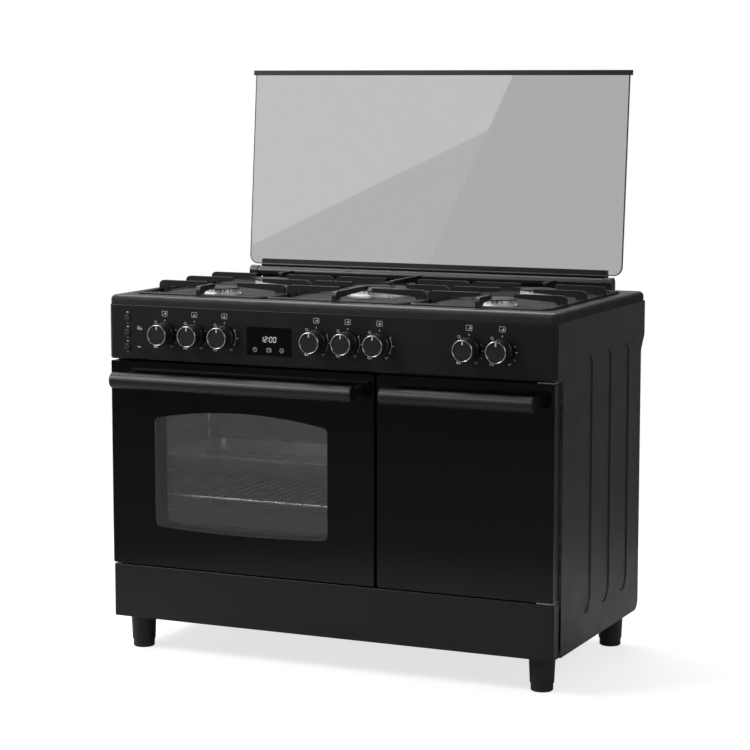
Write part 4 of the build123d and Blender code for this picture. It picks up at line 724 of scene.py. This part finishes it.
def floor():
    """A white floor that keeps the shadow; towards its rim it fades into the white surround."""
    shape = bmesh.new()
    bmesh.ops.create_circle(shape, cap_ends=True, segments=FLOOR_STEPS, radius=FLOOR_RADIUS)
    item = placed("studio_floor", as_mesh(shape, "studio_floor"))
    item.location = (0, FRONT + FLOOR_BEHIND, cad_box[0].z - FLOOR_DROP)
    material, tree, where = start("white_floor")
    path = add(tree, "LightPath").outputs
    seen = add(tree, "Math", {"operation": "MAXIMUM"}, (path["Is Camera Ray"], path["Is Transmission Ray"]))
    level = add(tree, "MapRange", Value=seen, To_Min=0.0, To_Max=FLOOR_GLOW)
    glow = add(tree, "Emission", Strength=level)
    matt = add(tree, "BsdfDiffuse", Color=linear("#c0c0c0"))
    both = add(tree, "AddShader", None, (matt, glow))
    away = add(tree, "VectorMath", {"operation": "LENGTH"}, (where,)).outputs["Value"]
    fade = add(tree, "MapRange", {"interpolation_type": "SMOOTHSTEP"}, Value=away, From_Min=FLOOR_RIM,
               From_Max=FLOOR_RADIUS)
    rim = add(tree, "MixShader", None, (fade, both, add(tree, "BsdfTransparent")))
    add(tree, "OutputMaterial", Surface=rim)
    item.data.materials.append(material)


def surround():
    """White for the camera, for what glass lets through and, far left, for gloss; a dim room elsewhere."""
    world = bpy.data.worlds.new("studio")
    scene.world = world
    world.use_nodes = True
    tree = world.node_tree
    tree.nodes.clear()
    path = add(tree, "LightPath").outputs
    through = add(tree, "Math", {"operation": "MAXIMUM"}, (path["Is Camera Ray"], path["Is Transmission Ray"]))
    where = add(tree, "SeparateXYZ", Vector=add(tree, "TexCoord").outputs["Generated"]).outputs
    left = add(tree, "MapRange", Value=where["X"], From_Min=-0.85, From_Max=-0.65, To_Min=0.8, To_Max=0.0)
    gloss = add(tree, "Math", {"operation": "MULTIPLY"}, (path["Is Glossy Ray"], left))
    seen = add(tree, "Math", {"operation": "MAXIMUM"}, (through, gloss))
    across = add(tree, "MapRange", Value=where["X"], From_Min=-0.5, From_Max=0.4, To_Min=0.45, To_Max=0.14)
    low = add(tree, "MapRange", Value=where["Z"], From_Min=-0.20, From_Max=-0.10, To_Min=0.24, To_Max=0.08)
    behind = add(tree, "MapRange", Value=where["Y"], From_Min=-0.3, From_Max=0.5)
    level = add(tree, "Mix", Factor=behind, A=low, B=across)
    room = add(tree, "Background", Color=linear("#ffffff"), Strength=level)
    white = add(tree, "Background", Color=linear("#ffffff"), Strength=1.0)
    add(tree, "OutputWorld", Surface=add(tree, "MixShader", None, (seen, room, white)))


def softbox(name, place, aim, width, height, power):
    """A rectangular lamp; place, aim and size in drawing millimetres."""
    lamp = bpy.data.lights.new(name, "AREA")
    lamp.shape = "RECTANGLE"
    lamp.size, lamp.size_y = width * MM, height * MM
    lamp.energy = power
    item = placed(name, lamp)
    item.location = TO_FRAME @ Vector(place)
    item.rotation_euler = (TO_FRAME @ Vector(aim) - item.location).to_track_quat("-Z", "Y").to_euler()


CARD_DEPTH = -2500


def card(name, corners, level):
    """A lit card beside the camera, which only gloss sees; corners of (x, height)."""
    shape = bmesh.new()
    shape.faces.new([shape.verts.new(TO_FRAME @ Vector((x, CARD_DEPTH, z))) for x, z in corners])
    item = placed(name, as_mesh(shape, name))
    material, tree, _ = start(name)
    add(tree, "OutputMaterial", Surface=add(tree, "Emission", Strength=level))
    material.cycles.emission_sampling = "NONE"
    item.data.materials.append(material)
    item.visible_camera = item.visible_diffuse = item.visible_shadow = item.visible_transmission = False


floor()
surround()
card("upper_card", ((-2217, 1156), (-1117, 1683), (-972, 2044), (-2292, 2054)), level=2.9)
card("lower_card", ((-2217, 1156), (-1117, 1683), (-1356, 1089), (-2209, 1059)), level=0.8)
softbox("key_left", (-3000, -2400, 3900), (0, 200, 500), width=2600, height=1800, power=155)
softbox("fill_right", (3600, -1600, 2400), (200, 200, 500), width=2200, height=2200, power=40)
softbox("top_rear", (-1000, 1400, 3600), (-200, 300, 700), width=3600, height=2400, power=110)
LAMP_AHEAD, LAMP_ABOVE = 25, 18
AIM_SHORT, AIM_ABOVE = 40, 60
(_, oven_front, oven_foot), (_, oven_back, oven_top) = limits("shelf_ladders")
oven_x = middle("shelf_ladders")[0]
oven_lamp = (oven_x, oven_front - LAMP_AHEAD, oven_top + LAMP_ABOVE)
oven_aim = (oven_x, oven_back - AIM_SHORT, oven_foot + AIM_ABOVE)
softbox("oven_lamp", oven_lamp, oven_aim, width=440, height=24, power=1.2)

TARGET = Vector((-11.0, 300.0, 642.0))
YAW, PITCH = math.radians(24.41), math.radians(7.17)
DISTANCE = 5518.0
PICTURE, FOCAL_PIXELS = 750, 2356.0
SENSOR = 36.0
ahead = Vector((-math.sin(YAW) * math.cos(PITCH), math.cos(YAW) * math.cos(PITCH), -math.sin(PITCH)))
lens = bpy.data.cameras.new("camera")
lens.sensor_width = SENSOR
lens.lens = FOCAL_PIXELS / PICTURE * SENSOR
camera = placed("camera", lens)
camera.location = TO_FRAME @ (TARGET - ahead * DISTANCE)
camera.rotation_euler = ahead.to_track_quat("-Z", "Y").to_euler()
scene.camera = camera
